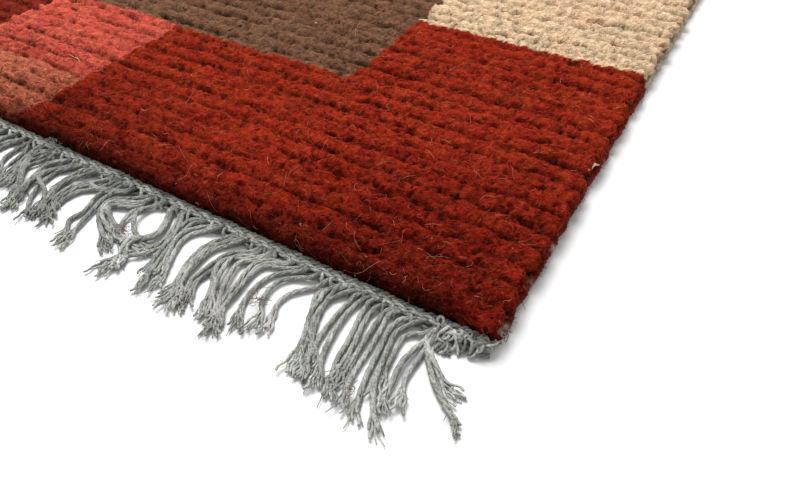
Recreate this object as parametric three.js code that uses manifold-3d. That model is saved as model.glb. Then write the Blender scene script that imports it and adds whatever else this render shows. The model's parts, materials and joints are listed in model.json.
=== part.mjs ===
// Hand-knotted wool rug with cotton end braids and fringes, lying flat.
// Millimetres, +Z up, origin under the middle of the rug on the surface that it lies on.
// X runs along the pile rows and the fringed ends, Y along the rug's length.

import * as THREE from "three";
import { mergeVertices } from "three/addons/utils/BufferGeometryUtils.js";
import Module from "manifold-3d";

const wasm = await Module();
wasm.setup();

// Driving dimensions of the knotted field
const FIELD_WIDTH = 600;
const FIELD_LENGTH = 900;
const PILE_TOP = 10.6;
const PILE_ROWS = 94;
const PILE_COLUMNS = 9;
const GROOVE_DEPTH = 2.6;
const GROOVE_UNEVEN = 1.1;
const CREST_UNEVEN = 0.55;
const ROW_WOBBLE = 1.1;
const EDGE_WOBBLE = 0.7;
const EDGE_COLUMN_INSET = 9;
const END_FACE_HEIGHT = 4.3;
const END_SHOULDER_HEIGHT = 7.9;
const END_SHOULDER_INSET = 0.8;

// The side of the pile at an end face, from its foot up: how far in from the foot, and the share of the
// end face's height
const END_FACE_SIDE = [
  { inset: 0, up: 0 },
  { inset: 0.3, up: 0.4 },
  { inset: 0.9, up: 0.83 },
  { inset: 2, up: 0.98 },
];

// Driving dimensions of the overcast side edges
const SELVEDGE_WIDTH = 4.4;
const SELVEDGE_HEIGHT = 4.5;
const SELVEDGE_STATIONS = 37;
const SELVEDGE_UNEVEN = 0.35;
const SELVEDGE_END_INSET = 1.5;

// The overcast edge's section, from the foot beside the pile over the top: shares of its width and height
const SELVEDGE_SECTION = [
  { across: 0, up: 0 },
  { across: 0, up: 0.84 },
  { across: 0.35, up: 1 },
  { across: 0.77, up: 0.91 },
  { across: 1, up: 0.55 },
  { across: 0.8, up: 0 },
];

// How the pile stands over the side edges
const LEDGE_HEIGHT = 4.9;
const BULGE_HEIGHT = 7;
const BULGE_INSET = 1.3;
const BULGE_BELOW_TOP = 1.2;
const RIM_INSET = 3.2;
const RIM_BELOW_TOP = 0.9;

// Driving dimensions of the end braids and the fringe
const STITCHES = 96;
const BRAID_WIDTH = 6.5;
const BRAID_HEIGHT = 4.2;
const BRAID_STATIONS = 25;
const BRAID_UNEVEN = 0.25;
const BRAID_END_INSET = 1.5;
const STRAND_LEAD = 3.2;
const STRAND_LEAD_EARLY = 0.6;
const STRAND_MIN_PITCH = 4.3;
const STRAND_MIN_STEP = 3;
const FRINGE_REACH = 46;

// The braid's section, from its outer foot over the top: shares of its width and height
const BRAID_SECTION = [
  { out: 1, up: 0 },
  { out: 1, up: 0.68 },
  { out: 0.72, up: 0.94 },
  { out: 0.38, up: 1 },
  { out: 0.04, up: 0.86 },
  { out: 0, up: 0 },
];

// A strand's section along its way: how far beyond the braid, how high its flat side lies, its width and
// its height. The last row is its tip, which lies at the strand's own reach.
const STRAND_STOPS = [
  { beyond: -2.3, lift: 0.6, width: 2.4, height: 1.9 },
  { beyond: 5, lift: 0.3, width: 3, height: 2.6 },
  { beyond: 15, lift: 0, width: 3, height: 2.3 },
  { beyond: null, lift: 0, width: 3.3, height: 1.7 },
];
const STRAND_TIP_WIDTH = STRAND_STOPS.at(-1).width;

// What a clump of strands may be where the rug is finished plainly: lowest and highest value
const PLAIN_CLUMP = {
  strands: [2, 6],
  shift: [-4, 7],
  pitch: [4.3, 5],
  reach: [37, 49],
  fall: [-3, 3],
  lead: [0.3, 1],
};

// Clearance between neighbouring pieces
const GAP = 0.3;

const HALF_WIDTH = FIELD_WIDTH / 2;
const HALF_LENGTH = FIELD_LENGTH / 2;
const ROW_PITCH = FIELD_LENGTH / PILE_ROWS;
const STITCH_PITCH = FIELD_WIDTH / STITCHES;

// Fringe clumps of the first end, from the corner at +X. Each row is one clump of neighbouring strands:
// how many, how far their tips stand to +X of their roots, the pitch of the tips, how far the tips
// reach out from the cloth's edge, how much the last strand falls short of the first, and the share of
// the usual sideways lead with which they leave the braid.
const CORNER_CLUMPS = [
  { strands: 2, shift: 0, pitch: 6, reach: 10.5, fall: 0, lead: 0 },
  { strands: 1, shift: 13.4, pitch: 4, reach: 32, fall: 0, lead: 0 },
  { strands: 3, shift: 7.6, pitch: 4.3, reach: 40, fall: -6, lead: 0.6 },
  { strands: 1, shift: 8, pitch: 4, reach: 44, fall: 0, lead: 0.3 },
  { strands: 3, shift: 8.6, pitch: 4.7, reach: 41, fall: 0, lead: 0 },
  { strands: 4, shift: -1.6, pitch: 4.6, reach: 35, fall: -8, lead: 1 },
  { strands: 1, shift: 2, pitch: 4, reach: 42, fall: 0, lead: 1 },
  { strands: 3, shift: 3.6, pitch: 4.5, reach: 44, fall: 0, lead: 1 },
  { strands: 2, shift: 6, pitch: 4.6, reach: 42, fall: 1, lead: 1 },
  { strands: 3, shift: -1, pitch: 4.4, reach: 38, fall: -6, lead: 0.3 },
  { strands: 3, shift: 6.6, pitch: 4.3, reach: 36, fall: 3, lead: 0.6 },
  { strands: 1, shift: 3.6, pitch: 4, reach: 41, fall: 0, lead: 0.2 },
  { strands: 7, shift: 0.4, pitch: 4.6, reach: 35, fall: -2, lead: 0.8 },
  { strands: 7, shift: -1.6, pitch: 4.8, reach: 40, fall: -3, lead: 0.8 },
];
const CORNER_CLUMP_STRANDS = CORNER_CLUMPS.reduce((sum, clump) => sum + clump.strands, 0);

/** A number from 0 to 1 that is always the same for the same n. */
function chance(n) {
  const wave = Math.sin(n * 12.9898 + 78.233) * 43758.5453;
  return wave - Math.floor(wave);
}

/** A number from -1 to 1 that is always the same for the same pair. */
function waver(i, j) {
  return 2 * chance(i * 17.13 + j * 3.71) - 1;
}

/** A number between two limits that is always the same for the same n. */
function between([low, high], n) {
  return low + (high - low) * chance(n);
}

/** Clumps for a stretch of fringe that is finished plainly. */
function plainClumps(strandCount, seed) {
  const clumps = [];
  const [fewest, most] = PLAIN_CLUMP.strands;
  let left = strandCount;
  for (let n = seed; left > 0; n += 1) {
    const strands = Math.min(left, Math.floor(between([fewest, most + 1], n)));
    clumps.push({
      strands,
      shift: between(PLAIN_CLUMP.shift, n + 0.2),
      pitch: between(PLAIN_CLUMP.pitch, n + 0.4),
      reach: between(PLAIN_CLUMP.reach, n + 0.6),
      fall: between(PLAIN_CLUMP.fall, n + 0.8),
      lead: between(PLAIN_CLUMP.lead, n + 0.9),
    });
    left -= strands;
  }
  return clumps;
}

/** A closed mesh geometry from corner points and triangles of their indices. */
function solidGeometry(points, triangles) {
  const geometry = new THREE.BufferGeometry();
  geometry.setAttribute("position", new THREE.Float32BufferAttribute(points.flat(), 3));
  geometry.setIndex(triangles.flat());
  geometry.computeVertexNormals();
  return geometry;
}

/**
 * A closed skin over rings of equally many points. The rings follow each other so that, looking
 * back along them, each runs anticlockwise. A ring's first and last points are its two lower corners,
 * and each end is closed by a fan from either corner.
 */
function loft(rings) {
  const size = rings[0].length;
  const triangles = [];
  for (let r = 0; r + 1 < rings.length; r += 1) {
    for (let i = 0; i < size; i += 1) {
      const a = r * size + i;
      const b = r * size + ((i + 1) % size);
      triangles.push([a, a + size, b], [b, a + size, b + size]);
    }
  }
  const middle = Math.floor(size / 2);
  const last = size - 1;
  const top = (rings.length - 1) * size;
  for (let i = 1; i < middle; i += 1) {
    triangles.push([0, i, i + 1], [top, top + i + 1, top + i]);
  }
  triangles.push([0, middle, last], [top, top + last, top + middle]);
  for (let i = middle; i < last - 1; i += 1) {
    triangles.push([last, i, i + 1], [top + last, top + i + 1, top + i]);
  }
  return solidGeometry(rings.flat(), triangles);
}

/** Where pile row station r lies along Y, and how high the pile is there, before any unevenness. */
function pileStations() {
  const stations = [
    { y: -HALF_LENGTH + GAP, top: END_FACE_HEIGHT, wobble: 0, foot: true },
    { y: -HALF_LENGTH + END_SHOULDER_INSET, top: END_SHOULDER_HEIGHT, wobble: 0, foot: false },
  ];
  for (let row = 0; row < PILE_ROWS; row += 1) {
    const crest = -HALF_LENGTH + (row + 0.5) * ROW_PITCH;
    stations.push({ y: crest, top: PILE_TOP, wobble: ROW_WOBBLE, foot: false });
    if (row + 1 < PILE_ROWS) {
      const depth = GROOVE_DEPTH + GROOVE_UNEVEN * waver(row, 5);
      stations.push({ y: crest + ROW_PITCH / 2, top: PILE_TOP - depth, wobble: ROW_WOBBLE, foot: false });
    }
  }
  stations.push(
    { y: HALF_LENGTH - END_SHOULDER_INSET, top: END_SHOULDER_HEIGHT, wobble: 0, foot: false },
    { y: HALF_LENGTH - GAP, top: END_FACE_HEIGHT, wobble: 0, foot: true },
  );
  return stations;
}

/** The corner points of one side of the pile, from its foot up, as distance from the middle and height. */
function pileSide(station, index, side) {
  const foot = HALF_WIDTH - SELVEDGE_WIDTH - GAP;
  if (station.foot) {
    return END_FACE_SIDE.map(({ inset, up }) => [foot - inset, station.top * up]);
  }
  const lean = EDGE_WOBBLE * waver(index, side);
  return [
    [foot, 0],
    [foot, LEDGE_HEIGHT],
    [HALF_WIDTH - BULGE_INSET + lean, Math.min(BULGE_HEIGHT, station.top - BULGE_BELOW_TOP)],
    [HALF_WIDTH - RIM_INSET + lean, station.top - RIM_BELOW_TOP],
  ];
}

/** The knotted field: a flat slab with a rib for each pile row and rounded, uneven edges. */
function pileField() {
  const span = 2 * (HALF_WIDTH - EDGE_COLUMN_INSET);
  const rings = pileStations().map((station, index) => {
    const left = pileSide(station, index, 1);
    const right = pileSide(station, index, 2);
    const ring = left.map(([out, z]) => [-out, station.y, z]);
    for (let column = 0; column < PILE_COLUMNS; column += 1) {
      const x = -span / 2 + (span * column) / (PILE_COLUMNS - 1);
      const y = station.y + station.wobble * waver(Math.floor(index / 2), 11 + column);
      const rise = station.foot ? 0 : CREST_UNEVEN * waver(index, 31 + column);
      ring.push([x, y, Math.min(PILE_TOP, station.top + rise)]);
    }
    ring.push(...right.reverse().map(([out, z]) => [out, station.y, z]));
    return ring;
  });
  return loft(rings.reverse());
}

/** The overcast binding along one side edge, an uneven flat-bottomed roll. */
function selvedge(side) {
  const inner = HALF_WIDTH - SELVEDGE_WIDTH;
  const run = FIELD_LENGTH - 2 * SELVEDGE_END_INSET;
  const rings = [];
  for (let s = 0; s < SELVEDGE_STATIONS; s += 1) {
    const y = -run / 2 + (run * s) / (SELVEDGE_STATIONS - 1);
    const atEnd = s === 0 || s === SELVEDGE_STATIONS - 1;
    const thin = atEnd ? 0 : SELVEDGE_UNEVEN * chance(s * 2.3 + side);
    const ring = SELVEDGE_SECTION.map(({ across, up }) => {
      const x = inner + across * (SELVEDGE_WIDTH - thin);
      return [side * x, y, up * (SELVEDGE_HEIGHT - thin)];
    });
    rings.push(side > 0 ? ring : ring.reverse());
  }
  return loft(rings.reverse());
}

/** The strands of one end as root and tip places across the rug, reach and lead. */
function strandRuns(clumps) {
  const runs = [];
  let first = 0;
  let freeFrom = HALF_WIDTH - STRAND_TIP_WIDTH / 2;
  for (const clump of clumps) {
    const middle = (clump.strands - 1) / 2;
    const wanted = HALF_WIDTH - (first + middle + 0.5) * STITCH_PITCH + clump.shift;
    const halfSpread = middle * clump.pitch;
    const roomEnd = STRAND_TIP_WIDTH / 2 - HALF_WIDTH + halfSpread;
    const centre = Math.max(roomEnd, Math.min(wanted, freeFrom - halfSpread));
    freeFrom = centre - halfSpread - STRAND_MIN_PITCH;
    for (let n = 0; n < clump.strands; n += 1) {
      const share = clump.strands > 1 ? n / (clump.strands - 1) : 0;
      const root = HALF_WIDTH - (first + n + 0.5) * STITCH_PITCH;
      runs.push({
        root,
        tip: centre - (n - middle) * clump.pitch,
        reach: Math.min(FRINGE_REACH, clump.reach - share * clump.fall),
        lead: Math.min(clump.lead * STRAND_LEAD, root + HALF_WIDTH - STRAND_TIP_WIDTH),
      });
    }
    first += clump.strands;
  }
  return runs;
}

/** The share of the way across, eased at both ends, at a distance out from the cloth's edge. */
function easedShare(out) {
  const u = THREE.MathUtils.clamp((out - BRAID_WIDTH) / (FRINGE_REACH - BRAID_WIDTH), 0, 1);
  return THREE.MathUtils.smoothstep(u, 0, 1);
}

/** Where a strand lies across the rug at a distance out from the cloth's edge. */
function strandAcross(run, out) {
  const u = THREE.MathUtils.clamp((out - BRAID_WIDTH) / (FRINGE_REACH - BRAID_WIDTH), 0, 1);
  const across = ((run.tip - run.root) * easedShare(out)) / easedShare(run.reach);
  return run.root + across - run.lead * Math.sin(Math.PI * u ** STRAND_LEAD_EARLY);
}

/** One strand: a three-sided bar that starts inside the braid and comes down level on the surface. */
function strand(run) {
  const stops = STRAND_STOPS.filter(({ beyond }) => BRAID_WIDTH + beyond < run.reach - STRAND_MIN_STEP);
  const rings = stops.map(({ beyond, lift, width, height }) => {
    const out = beyond === null ? run.reach : BRAID_WIDTH + beyond;
    const x = strandAcross(run, out);
    const y = -HALF_LENGTH - out;
    return [[x - width / 2, y, lift], [x, y, lift + height], [x + width / 2, y, lift]];
  });
  return loft(rings);
}

/** The twined braid along one end, an uneven flat-bottomed strip. */
function braid() {
  const run = FIELD_WIDTH - 2 * BRAID_END_INSET;
  const rings = [];
  for (let s = 0; s < BRAID_STATIONS; s += 1) {
    const x = -run / 2 + (run * s) / (BRAID_STATIONS - 1);
    const top = BRAID_HEIGHT + BRAID_UNEVEN * waver(s, 71);
    rings.push(BRAID_SECTION.map(({ out, up }) => [x, -HALF_LENGTH - BRAID_WIDTH * out, up * top]));
  }
  return loft(rings);
}

/** The manifold solid of a geometry. */
function toSolid(geometry) {
  const bare = geometry.clone();
  bare.deleteAttribute("normal");
  const merged = mergeVertices(bare);
  return new wasm.Manifold(new wasm.Mesh({
    numProp: 3,
    vertProperties: new Float32Array(merged.attributes.position.array),
    triVerts: new Uint32Array(merged.index.array),
  }));
}

/** The geometry of a manifold solid. */
function toGeometry(solid) {
  const mesh = solid.getMesh();
  const geometry = new THREE.BufferGeometry();
  geometry.setAttribute("position", new THREE.Float32BufferAttribute(mesh.vertProperties, 3));
  geometry.setIndex(Array.from(mesh.triVerts));
  geometry.computeVertexNormals();
  return geometry;
}

/** The braid of the first end with its strands fused to it at their roots. */
function fringe(clumps) {
  const strands = strandRuns(clumps).map((run) => toSolid(strand(run)));
  return toGeometry(strands.reduce((whole, piece) => whole.add(piece), toSolid(braid())));
}

/** A named mesh of one piece. */
function piece(name, geometry, material) {
  const mesh = new THREE.Mesh(geometry, material);
  mesh.name = name;
  return mesh;
}

const redWool = new THREE.MeshStandardMaterial({ color: 0x96301f, roughness: 0.95, metalness: 0 });
const boundWool = new THREE.MeshStandardMaterial({ color: 0x8a6a50, roughness: 0.95, metalness: 0 });
const greyCotton = new THREE.MeshStandardMaterial({ color: 0x8f948f, roughness: 0.9, metalness: 0 });

const rug = new THREE.Group();
rug.add(piece("pile_field", pileField(), redWool));
rug.add(piece("selvedge_right", selvedge(1), boundWool));
rug.add(piece("selvedge_left", selvedge(-1), boundWool));

const nearClumps = [...CORNER_CLUMPS, ...plainClumps(STITCHES - CORNER_CLUMP_STRANDS, 3)];
rug.add(piece("fringe_near", fringe(nearClumps), greyCotton));

const farEnd = piece("fringe_far", fringe(plainClumps(STITCHES, 41)), greyCotton);
farEnd.rotation.z = Math.PI;
rug.add(farEnd);

export default rug;
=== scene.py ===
"""A hand-knotted wool rug with cotton braids and fringes, lying flat in a plain studio.

Sizes are in millimetres in the rug's own frame, with +Z up and the origin under its middle, and become
metres when a mesh is made. X runs along the pile rows and the fringed ends, Y along the rug's length.
"""

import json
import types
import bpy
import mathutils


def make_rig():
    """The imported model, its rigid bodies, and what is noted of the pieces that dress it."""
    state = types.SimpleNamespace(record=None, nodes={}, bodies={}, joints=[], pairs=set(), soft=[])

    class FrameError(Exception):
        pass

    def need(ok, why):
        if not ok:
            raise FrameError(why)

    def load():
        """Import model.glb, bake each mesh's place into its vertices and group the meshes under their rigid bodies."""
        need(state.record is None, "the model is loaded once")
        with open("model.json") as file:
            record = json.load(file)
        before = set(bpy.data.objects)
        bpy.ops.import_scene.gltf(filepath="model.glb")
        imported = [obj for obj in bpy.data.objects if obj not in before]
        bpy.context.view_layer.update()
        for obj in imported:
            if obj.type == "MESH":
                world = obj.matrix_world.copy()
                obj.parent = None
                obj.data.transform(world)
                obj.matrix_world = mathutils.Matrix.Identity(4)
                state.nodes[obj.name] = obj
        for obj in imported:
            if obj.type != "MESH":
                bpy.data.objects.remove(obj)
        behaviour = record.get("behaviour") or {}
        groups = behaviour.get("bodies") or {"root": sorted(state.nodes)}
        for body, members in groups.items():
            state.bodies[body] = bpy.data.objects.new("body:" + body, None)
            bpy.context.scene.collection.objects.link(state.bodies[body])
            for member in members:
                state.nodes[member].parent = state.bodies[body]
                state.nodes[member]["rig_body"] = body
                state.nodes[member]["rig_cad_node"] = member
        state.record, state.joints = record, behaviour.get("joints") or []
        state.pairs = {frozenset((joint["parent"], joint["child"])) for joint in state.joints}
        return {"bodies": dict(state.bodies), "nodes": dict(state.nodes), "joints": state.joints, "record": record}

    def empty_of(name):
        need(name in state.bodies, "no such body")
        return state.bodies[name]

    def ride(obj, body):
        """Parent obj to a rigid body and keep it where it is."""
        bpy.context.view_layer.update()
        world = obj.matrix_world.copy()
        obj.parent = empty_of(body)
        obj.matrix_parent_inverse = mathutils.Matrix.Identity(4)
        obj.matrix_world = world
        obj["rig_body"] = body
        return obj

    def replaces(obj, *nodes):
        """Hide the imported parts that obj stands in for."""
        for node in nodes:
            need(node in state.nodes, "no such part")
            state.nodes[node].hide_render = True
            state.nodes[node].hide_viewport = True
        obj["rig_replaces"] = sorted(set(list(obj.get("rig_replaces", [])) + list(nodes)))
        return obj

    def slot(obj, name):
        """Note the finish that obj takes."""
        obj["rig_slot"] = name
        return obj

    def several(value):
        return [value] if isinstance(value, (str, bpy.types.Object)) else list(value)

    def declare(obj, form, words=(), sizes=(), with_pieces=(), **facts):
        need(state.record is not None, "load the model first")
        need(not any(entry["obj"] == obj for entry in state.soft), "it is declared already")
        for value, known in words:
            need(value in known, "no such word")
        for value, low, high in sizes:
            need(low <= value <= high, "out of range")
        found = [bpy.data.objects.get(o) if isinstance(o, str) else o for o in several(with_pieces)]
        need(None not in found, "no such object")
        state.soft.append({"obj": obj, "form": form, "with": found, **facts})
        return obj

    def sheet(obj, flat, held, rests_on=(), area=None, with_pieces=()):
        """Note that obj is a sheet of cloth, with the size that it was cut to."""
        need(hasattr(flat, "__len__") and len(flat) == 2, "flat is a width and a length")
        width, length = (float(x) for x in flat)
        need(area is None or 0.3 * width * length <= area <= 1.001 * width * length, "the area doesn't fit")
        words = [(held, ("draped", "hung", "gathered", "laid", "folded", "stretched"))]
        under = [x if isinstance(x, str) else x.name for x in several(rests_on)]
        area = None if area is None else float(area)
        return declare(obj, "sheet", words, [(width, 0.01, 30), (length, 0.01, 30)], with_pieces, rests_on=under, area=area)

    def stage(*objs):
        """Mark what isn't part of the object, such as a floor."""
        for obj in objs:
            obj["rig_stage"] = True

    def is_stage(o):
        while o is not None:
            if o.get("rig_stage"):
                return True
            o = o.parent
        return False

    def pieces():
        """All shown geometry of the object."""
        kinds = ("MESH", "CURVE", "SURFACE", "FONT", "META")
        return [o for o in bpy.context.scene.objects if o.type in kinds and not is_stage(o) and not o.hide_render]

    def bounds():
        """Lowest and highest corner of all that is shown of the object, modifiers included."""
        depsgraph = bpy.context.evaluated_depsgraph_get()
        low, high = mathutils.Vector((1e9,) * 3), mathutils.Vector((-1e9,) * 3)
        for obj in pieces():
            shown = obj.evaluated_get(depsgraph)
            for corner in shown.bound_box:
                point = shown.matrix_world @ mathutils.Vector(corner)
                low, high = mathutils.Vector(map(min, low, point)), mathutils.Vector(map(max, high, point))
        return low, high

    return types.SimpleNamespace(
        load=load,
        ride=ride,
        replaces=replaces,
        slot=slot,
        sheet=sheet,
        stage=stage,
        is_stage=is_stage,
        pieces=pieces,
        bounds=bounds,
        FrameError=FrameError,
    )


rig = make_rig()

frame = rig.load()

import json
import logging
import math
from dataclasses import dataclass, field
from enum import Enum

import bmesh
import bpy
import numpy as np
from mathutils import Matrix, Vector

log = logging.getLogger("rug")
MM = 0.001
UP = np.array([0.0, 0.0, 1.0])


class Dye(Enum):
    """The wool lots of the pile, as linear colours."""

    DEEP_RED = (0.234, 0.0165, 0.0055)
    DARK_RED = (0.17, 0.015, 0.008)
    CORAL = (0.475, 0.074, 0.048)
    SALMON = (0.43, 0.112, 0.060)
    BROWN = (0.136, 0.066, 0.037)
    BEIGE = (0.59, 0.420, 0.264)


@dataclass(frozen=True)
class ColourBlock:
    """A rectangle of the pile that is knotted in one lot of wool."""

    x_from: float
    x_to: float
    y_from: float
    y_to: float
    dye: Dye


BLOCKS = (
    ColourBlock(-29.3, 176.1, -350.1, -214.0, Dye.BROWN),
    ColourBlock(176.1, 301.0, -282.5, -152.0, Dye.BEIGE),
    ColourBlock(-29.3, 62.8, -412.4, -350.1, Dye.CORAL),
    ColourBlock(-29.3, 62.8, -451.0, -412.4, Dye.SALMON),
    ColourBlock(-124.0, -29.3, -451.0, -309.0, Dye.DARK_RED),
    ColourBlock(-212.0, -124.0, -451.0, -386.0, Dye.BEIGE),
    ColourBlock(-301.0, -212.0, -451.0, -346.0, Dye.BROWN),
    ColourBlock(-212.0, -124.0, -386.0, -271.0, Dye.CORAL),
    ColourBlock(-124.0, -29.3, -309.0, -204.0, Dye.SALMON),
    ColourBlock(62.8, 176.1, -214.0, -99.0, Dye.SALMON),
    ColourBlock(-29.3, 62.8, -214.0, -70.0, Dye.BEIGE),
    ColourBlock(-301.0, -212.0, -251.0, -118.0, Dye.BEIGE),
    ColourBlock(-212.0, -124.0, -184.0, -60.0, Dye.BROWN),
    ColourBlock(62.8, 176.1, -99.0, 16.0, Dye.BROWN),
    ColourBlock(-124.0, -29.3, -89.0, 35.0, Dye.CORAL),
    ColourBlock(176.1, 301.0, -41.0, 64.0, Dye.CORAL),
    ColourBlock(-301.0, -212.0, -22.0, 93.0, Dye.SALMON),
    ColourBlock(-212.0, -124.0, 35.0, 160.0, Dye.BEIGE),
    ColourBlock(-29.3, 62.8, 16.0, 131.0, Dye.DARK_RED),
    ColourBlock(62.8, 176.1, 102.0, 227.0, Dye.BEIGE),
    ColourBlock(176.1, 301.0, 150.0, 265.0, Dye.BROWN),
    ColourBlock(-124.0, -29.3, 131.0, 256.0, Dye.BROWN),
    ColourBlock(-301.0, -212.0, 189.0, 323.0, Dye.DARK_RED),
    ColourBlock(-29.3, 62.8, 208.0, 323.0, Dye.CORAL),
    ColourBlock(-212.0, -124.0, 246.0, 371.0, Dye.SALMON),
    ColourBlock(62.8, 176.1, 313.0, 451.0, Dye.SALMON),
    ColourBlock(176.1, 301.0, 342.0, 451.0, Dye.BEIGE),
    ColourBlock(-124.0, -29.3, 352.0, 451.0, Dye.BEIGE),
    ColourBlock(-301.0, -212.0, 400.0, 451.0, Dye.CORAL),
)


@dataclass(frozen=True)
class RugSize:
    """The rug's own sizes, the same as those of its solids."""

    width: float = 600.0
    length: float = 900.0
    rows: int = 94
    stitches: int = 96
    row_wobble: float = 1.1
    wobble_columns: int = 9
    wobble_inset: float = 9.0
    braid_width: float = 6.5
    fringe_reach: float = 46.0
    strand_lead: float = 3.2
    strand_lead_early: float = 0.6
    strand_min_pitch: float = 4.3
    strand_tip_width: float = 3.3
    selvedge_width: float = 4.4

    @property
    def half_width(self) -> float:
        """Half the rug's width."""
        return self.width / 2

    @property
    def half_length(self) -> float:
        """Half the length of the knotted field."""
        return self.length / 2

    @property
    def row_pitch(self) -> float:
        """The distance between pile rows."""
        return self.length / self.rows

    @property
    def stitch_pitch(self) -> float:
        """The distance between knots along a row, and between braid stitches."""
        return self.width / self.stitches

    @property
    def corner(self) -> np.ndarray:
        """The near right corner of the knotted field, on the floor."""
        return np.array([self.half_width, -self.half_length, 0.0])


RUG = RugSize()


def chance(n: np.ndarray | float) -> np.ndarray | float:
    """A number from 0 to 1 that is always the same for the same n, as in the solids."""
    wave = np.sin(np.asarray(n, float) * 12.9898 + 78.233) * 43758.5453
    return wave - np.floor(wave)


def waver(i: float, j: float) -> float:
    """A number from -1 to 1 that is always the same for the same pair, as in the solids."""
    return 2 * chance(i * 17.13 + j * 3.71) - 1


def between(limits: tuple[float, float], n: float) -> float:
    """A number between two limits that is always the same for the same n."""
    return limits[0] + (limits[1] - limits[0]) * float(chance(n))


def eased(share: np.ndarray | float) -> np.ndarray | float:
    """A share from 0 to 1 with soft ends."""
    held = np.clip(share, 0.0, 1.0)
    return held * held * (3.0 - 2.0 * held)


def unit(vectors: np.ndarray) -> np.ndarray:
    """The vectors at length 1."""
    return vectors / np.maximum(np.linalg.norm(vectors, axis=-1, keepdims=True), 1e-9)


def soft_noise(points: np.ndarray, grain: float | tuple[float, float, float], seed: int) -> np.ndarray:
    """Smooth noise from -1 to 1.

    Args:
        points: Places in millimetres, with 3 numbers in the last axis.
        grain: The size of the lumps, the same all ways or for each axis.
        seed: Which noise.

    Returns:
        One number for each place.
    """
    scaled = np.asarray(points, float) / np.asarray(grain, float)
    cell = np.floor(scaled).astype(np.int64)
    part = eased(scaled - cell)
    total = np.zeros(scaled.shape[:-1])
    for corner in range(8):
        step = np.array([corner & 1, corner >> 1 & 1, corner >> 2 & 1])
        at = cell + step
        mixed = at[..., 0] * 374761393 + at[..., 1] * 668265263 + at[..., 2] * 1440662683 + seed * 974634777
        mixed &= 0xFFFFFFFF
        mixed = ((mixed ^ (mixed >> 13)) * 1274126177) & 0xFFFFFFFF
        value = ((mixed ^ (mixed >> 16)) & 0xFFFFFF) / 0xFFFFFF
        weight = np.prod(np.where(step, part, 1.0 - part), axis=-1)
        total += weight * value
    return 2.0 * total - 1.0


def along_routes(routes: np.ndarray, shares: np.ndarray) -> np.ndarray:
    """Places at shares of the way along routes whose points are evenly spaced.

    Args:
        routes: Routes x places x 3.
        shares: Routes x wanted places, from 0 to 1.

    Returns:
        Routes x wanted places x 3.
    """
    index = np.clip(shares, 0.0, 1.0) * (routes.shape[1] - 1.001)
    low = index.astype(int)
    part = (index - low)[..., None]
    which = np.arange(len(routes))[:, None]
    return routes[which, low] * (1 - part) + routes[which, low + 1] * part


def lengths_along(routes: np.ndarray) -> np.ndarray:
    """How far along its route each place lies, routes x places."""
    steps = np.linalg.norm(np.diff(routes, axis=1), axis=2)
    return np.concatenate([np.zeros((len(routes), 1)), np.cumsum(steps, axis=1)], axis=1)


def evenly(routes: np.ndarray, places: int) -> np.ndarray:
    """The same routes with points at equal steps.

    Args:
        routes: Routes x any number of places x 3.
        places: How many points each gets.

    Returns:
        Routes x places x 3.
    """
    spaced = []
    for route, lengths in zip(routes, lengths_along(routes), strict=True):
        wanted = np.linspace(0, lengths[-1], places)
        spaced.append(np.stack([np.interp(wanted, lengths, numbers) for numbers in route.T], axis=-1))
    return np.array(spaced)


def beside_and_above(routes: np.ndarray, up: np.ndarray = UP) -> tuple[np.ndarray, np.ndarray]:
    """The directions beside and above routes at each of their places.

    Args:
        routes: Routes x places x 3.
        up: A direction that no route follows, or one for each route.

    Returns:
        Unit vectors to the side and upward, each routes x places x 3.
    """
    ahead = unit(np.gradient(routes, axis=1))
    side = unit(np.cross(ahead, np.broadcast_to(up, ahead.shape)))
    return side, np.cross(side, ahead)


def rounded_line(points: np.ndarray, places: int) -> np.ndarray:
    """A smooth line through a few points.

    Args:
        points: The points in order.
        places: How many points the line gets.

    Returns:
        The line's points.
    """
    ahead = np.gradient(points, axis=0)
    at = np.linspace(0, len(points) - 1.001, places)
    low = at.astype(int)
    t = (at - low)[:, None]
    near = (2 * t ** 3 - 3 * t ** 2 + 1) * points[low] + (t ** 3 - 2 * t ** 2 + t) * ahead[low]
    return near + (3 * t ** 2 - 2 * t ** 3) * points[low + 1] + (t ** 3 - t ** 2) * ahead[low + 1]


def on_floor(x: np.ndarray, y: np.ndarray) -> np.ndarray:
    """Places at height 0, with 3 numbers in the last axis."""
    return np.stack([x, y, np.zeros_like(x)], axis=-1)


def walked(start: np.ndarray, way: np.ndarray, stride: np.ndarray) -> np.ndarray:
    """Paths that leave their starts in wandering directions.

    Args:
        start: Paths x 2.
        way: The angle of each step, paths x steps.
        stride: The length of each path's steps, the same for both axes or one for each.

    Returns:
        Paths x steps x 2.
    """
    steps = np.stack([np.cos(way), np.sin(way)], axis=-1) * stride[:, None, :]
    return start[:, None] + np.cumsum(steps, axis=1)


def placed(name: str, data: bpy.types.ID) -> bpy.types.Object:
    """A new object at the origin of the scene."""
    made = bpy.data.objects.new(name, data)
    bpy.context.scene.collection.objects.link(made)
    return made


def coloured(mesh: bpy.types.Mesh, colours: np.ndarray) -> bpy.types.Object:
    """Makes a mesh's faces smooth, gives it the colour of its yarn with any painted shade, and places it in the scene.

    Args:
        mesh: The mesh.
        colours: A linear colour for each of its points.

    Returns:
        The new object, with the mesh's name.
    """
    painted = np.ones((len(mesh.vertices), 4))
    painted[:, :3] = np.clip(colours, 0.0, 1.0)
    layer = mesh.color_attributes.new("yarn_colour", "FLOAT_COLOR", "POINT")
    layer.data.foreach_set("color", painted.ravel())
    mesh.polygons.foreach_set("use_smooth", np.ones(len(mesh.polygons), bool))
    mesh.calc_loop_triangles()
    log.info("%s: %d triangles", mesh.name, len(mesh.loop_triangles))
    return placed(mesh.name, mesh)


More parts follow.
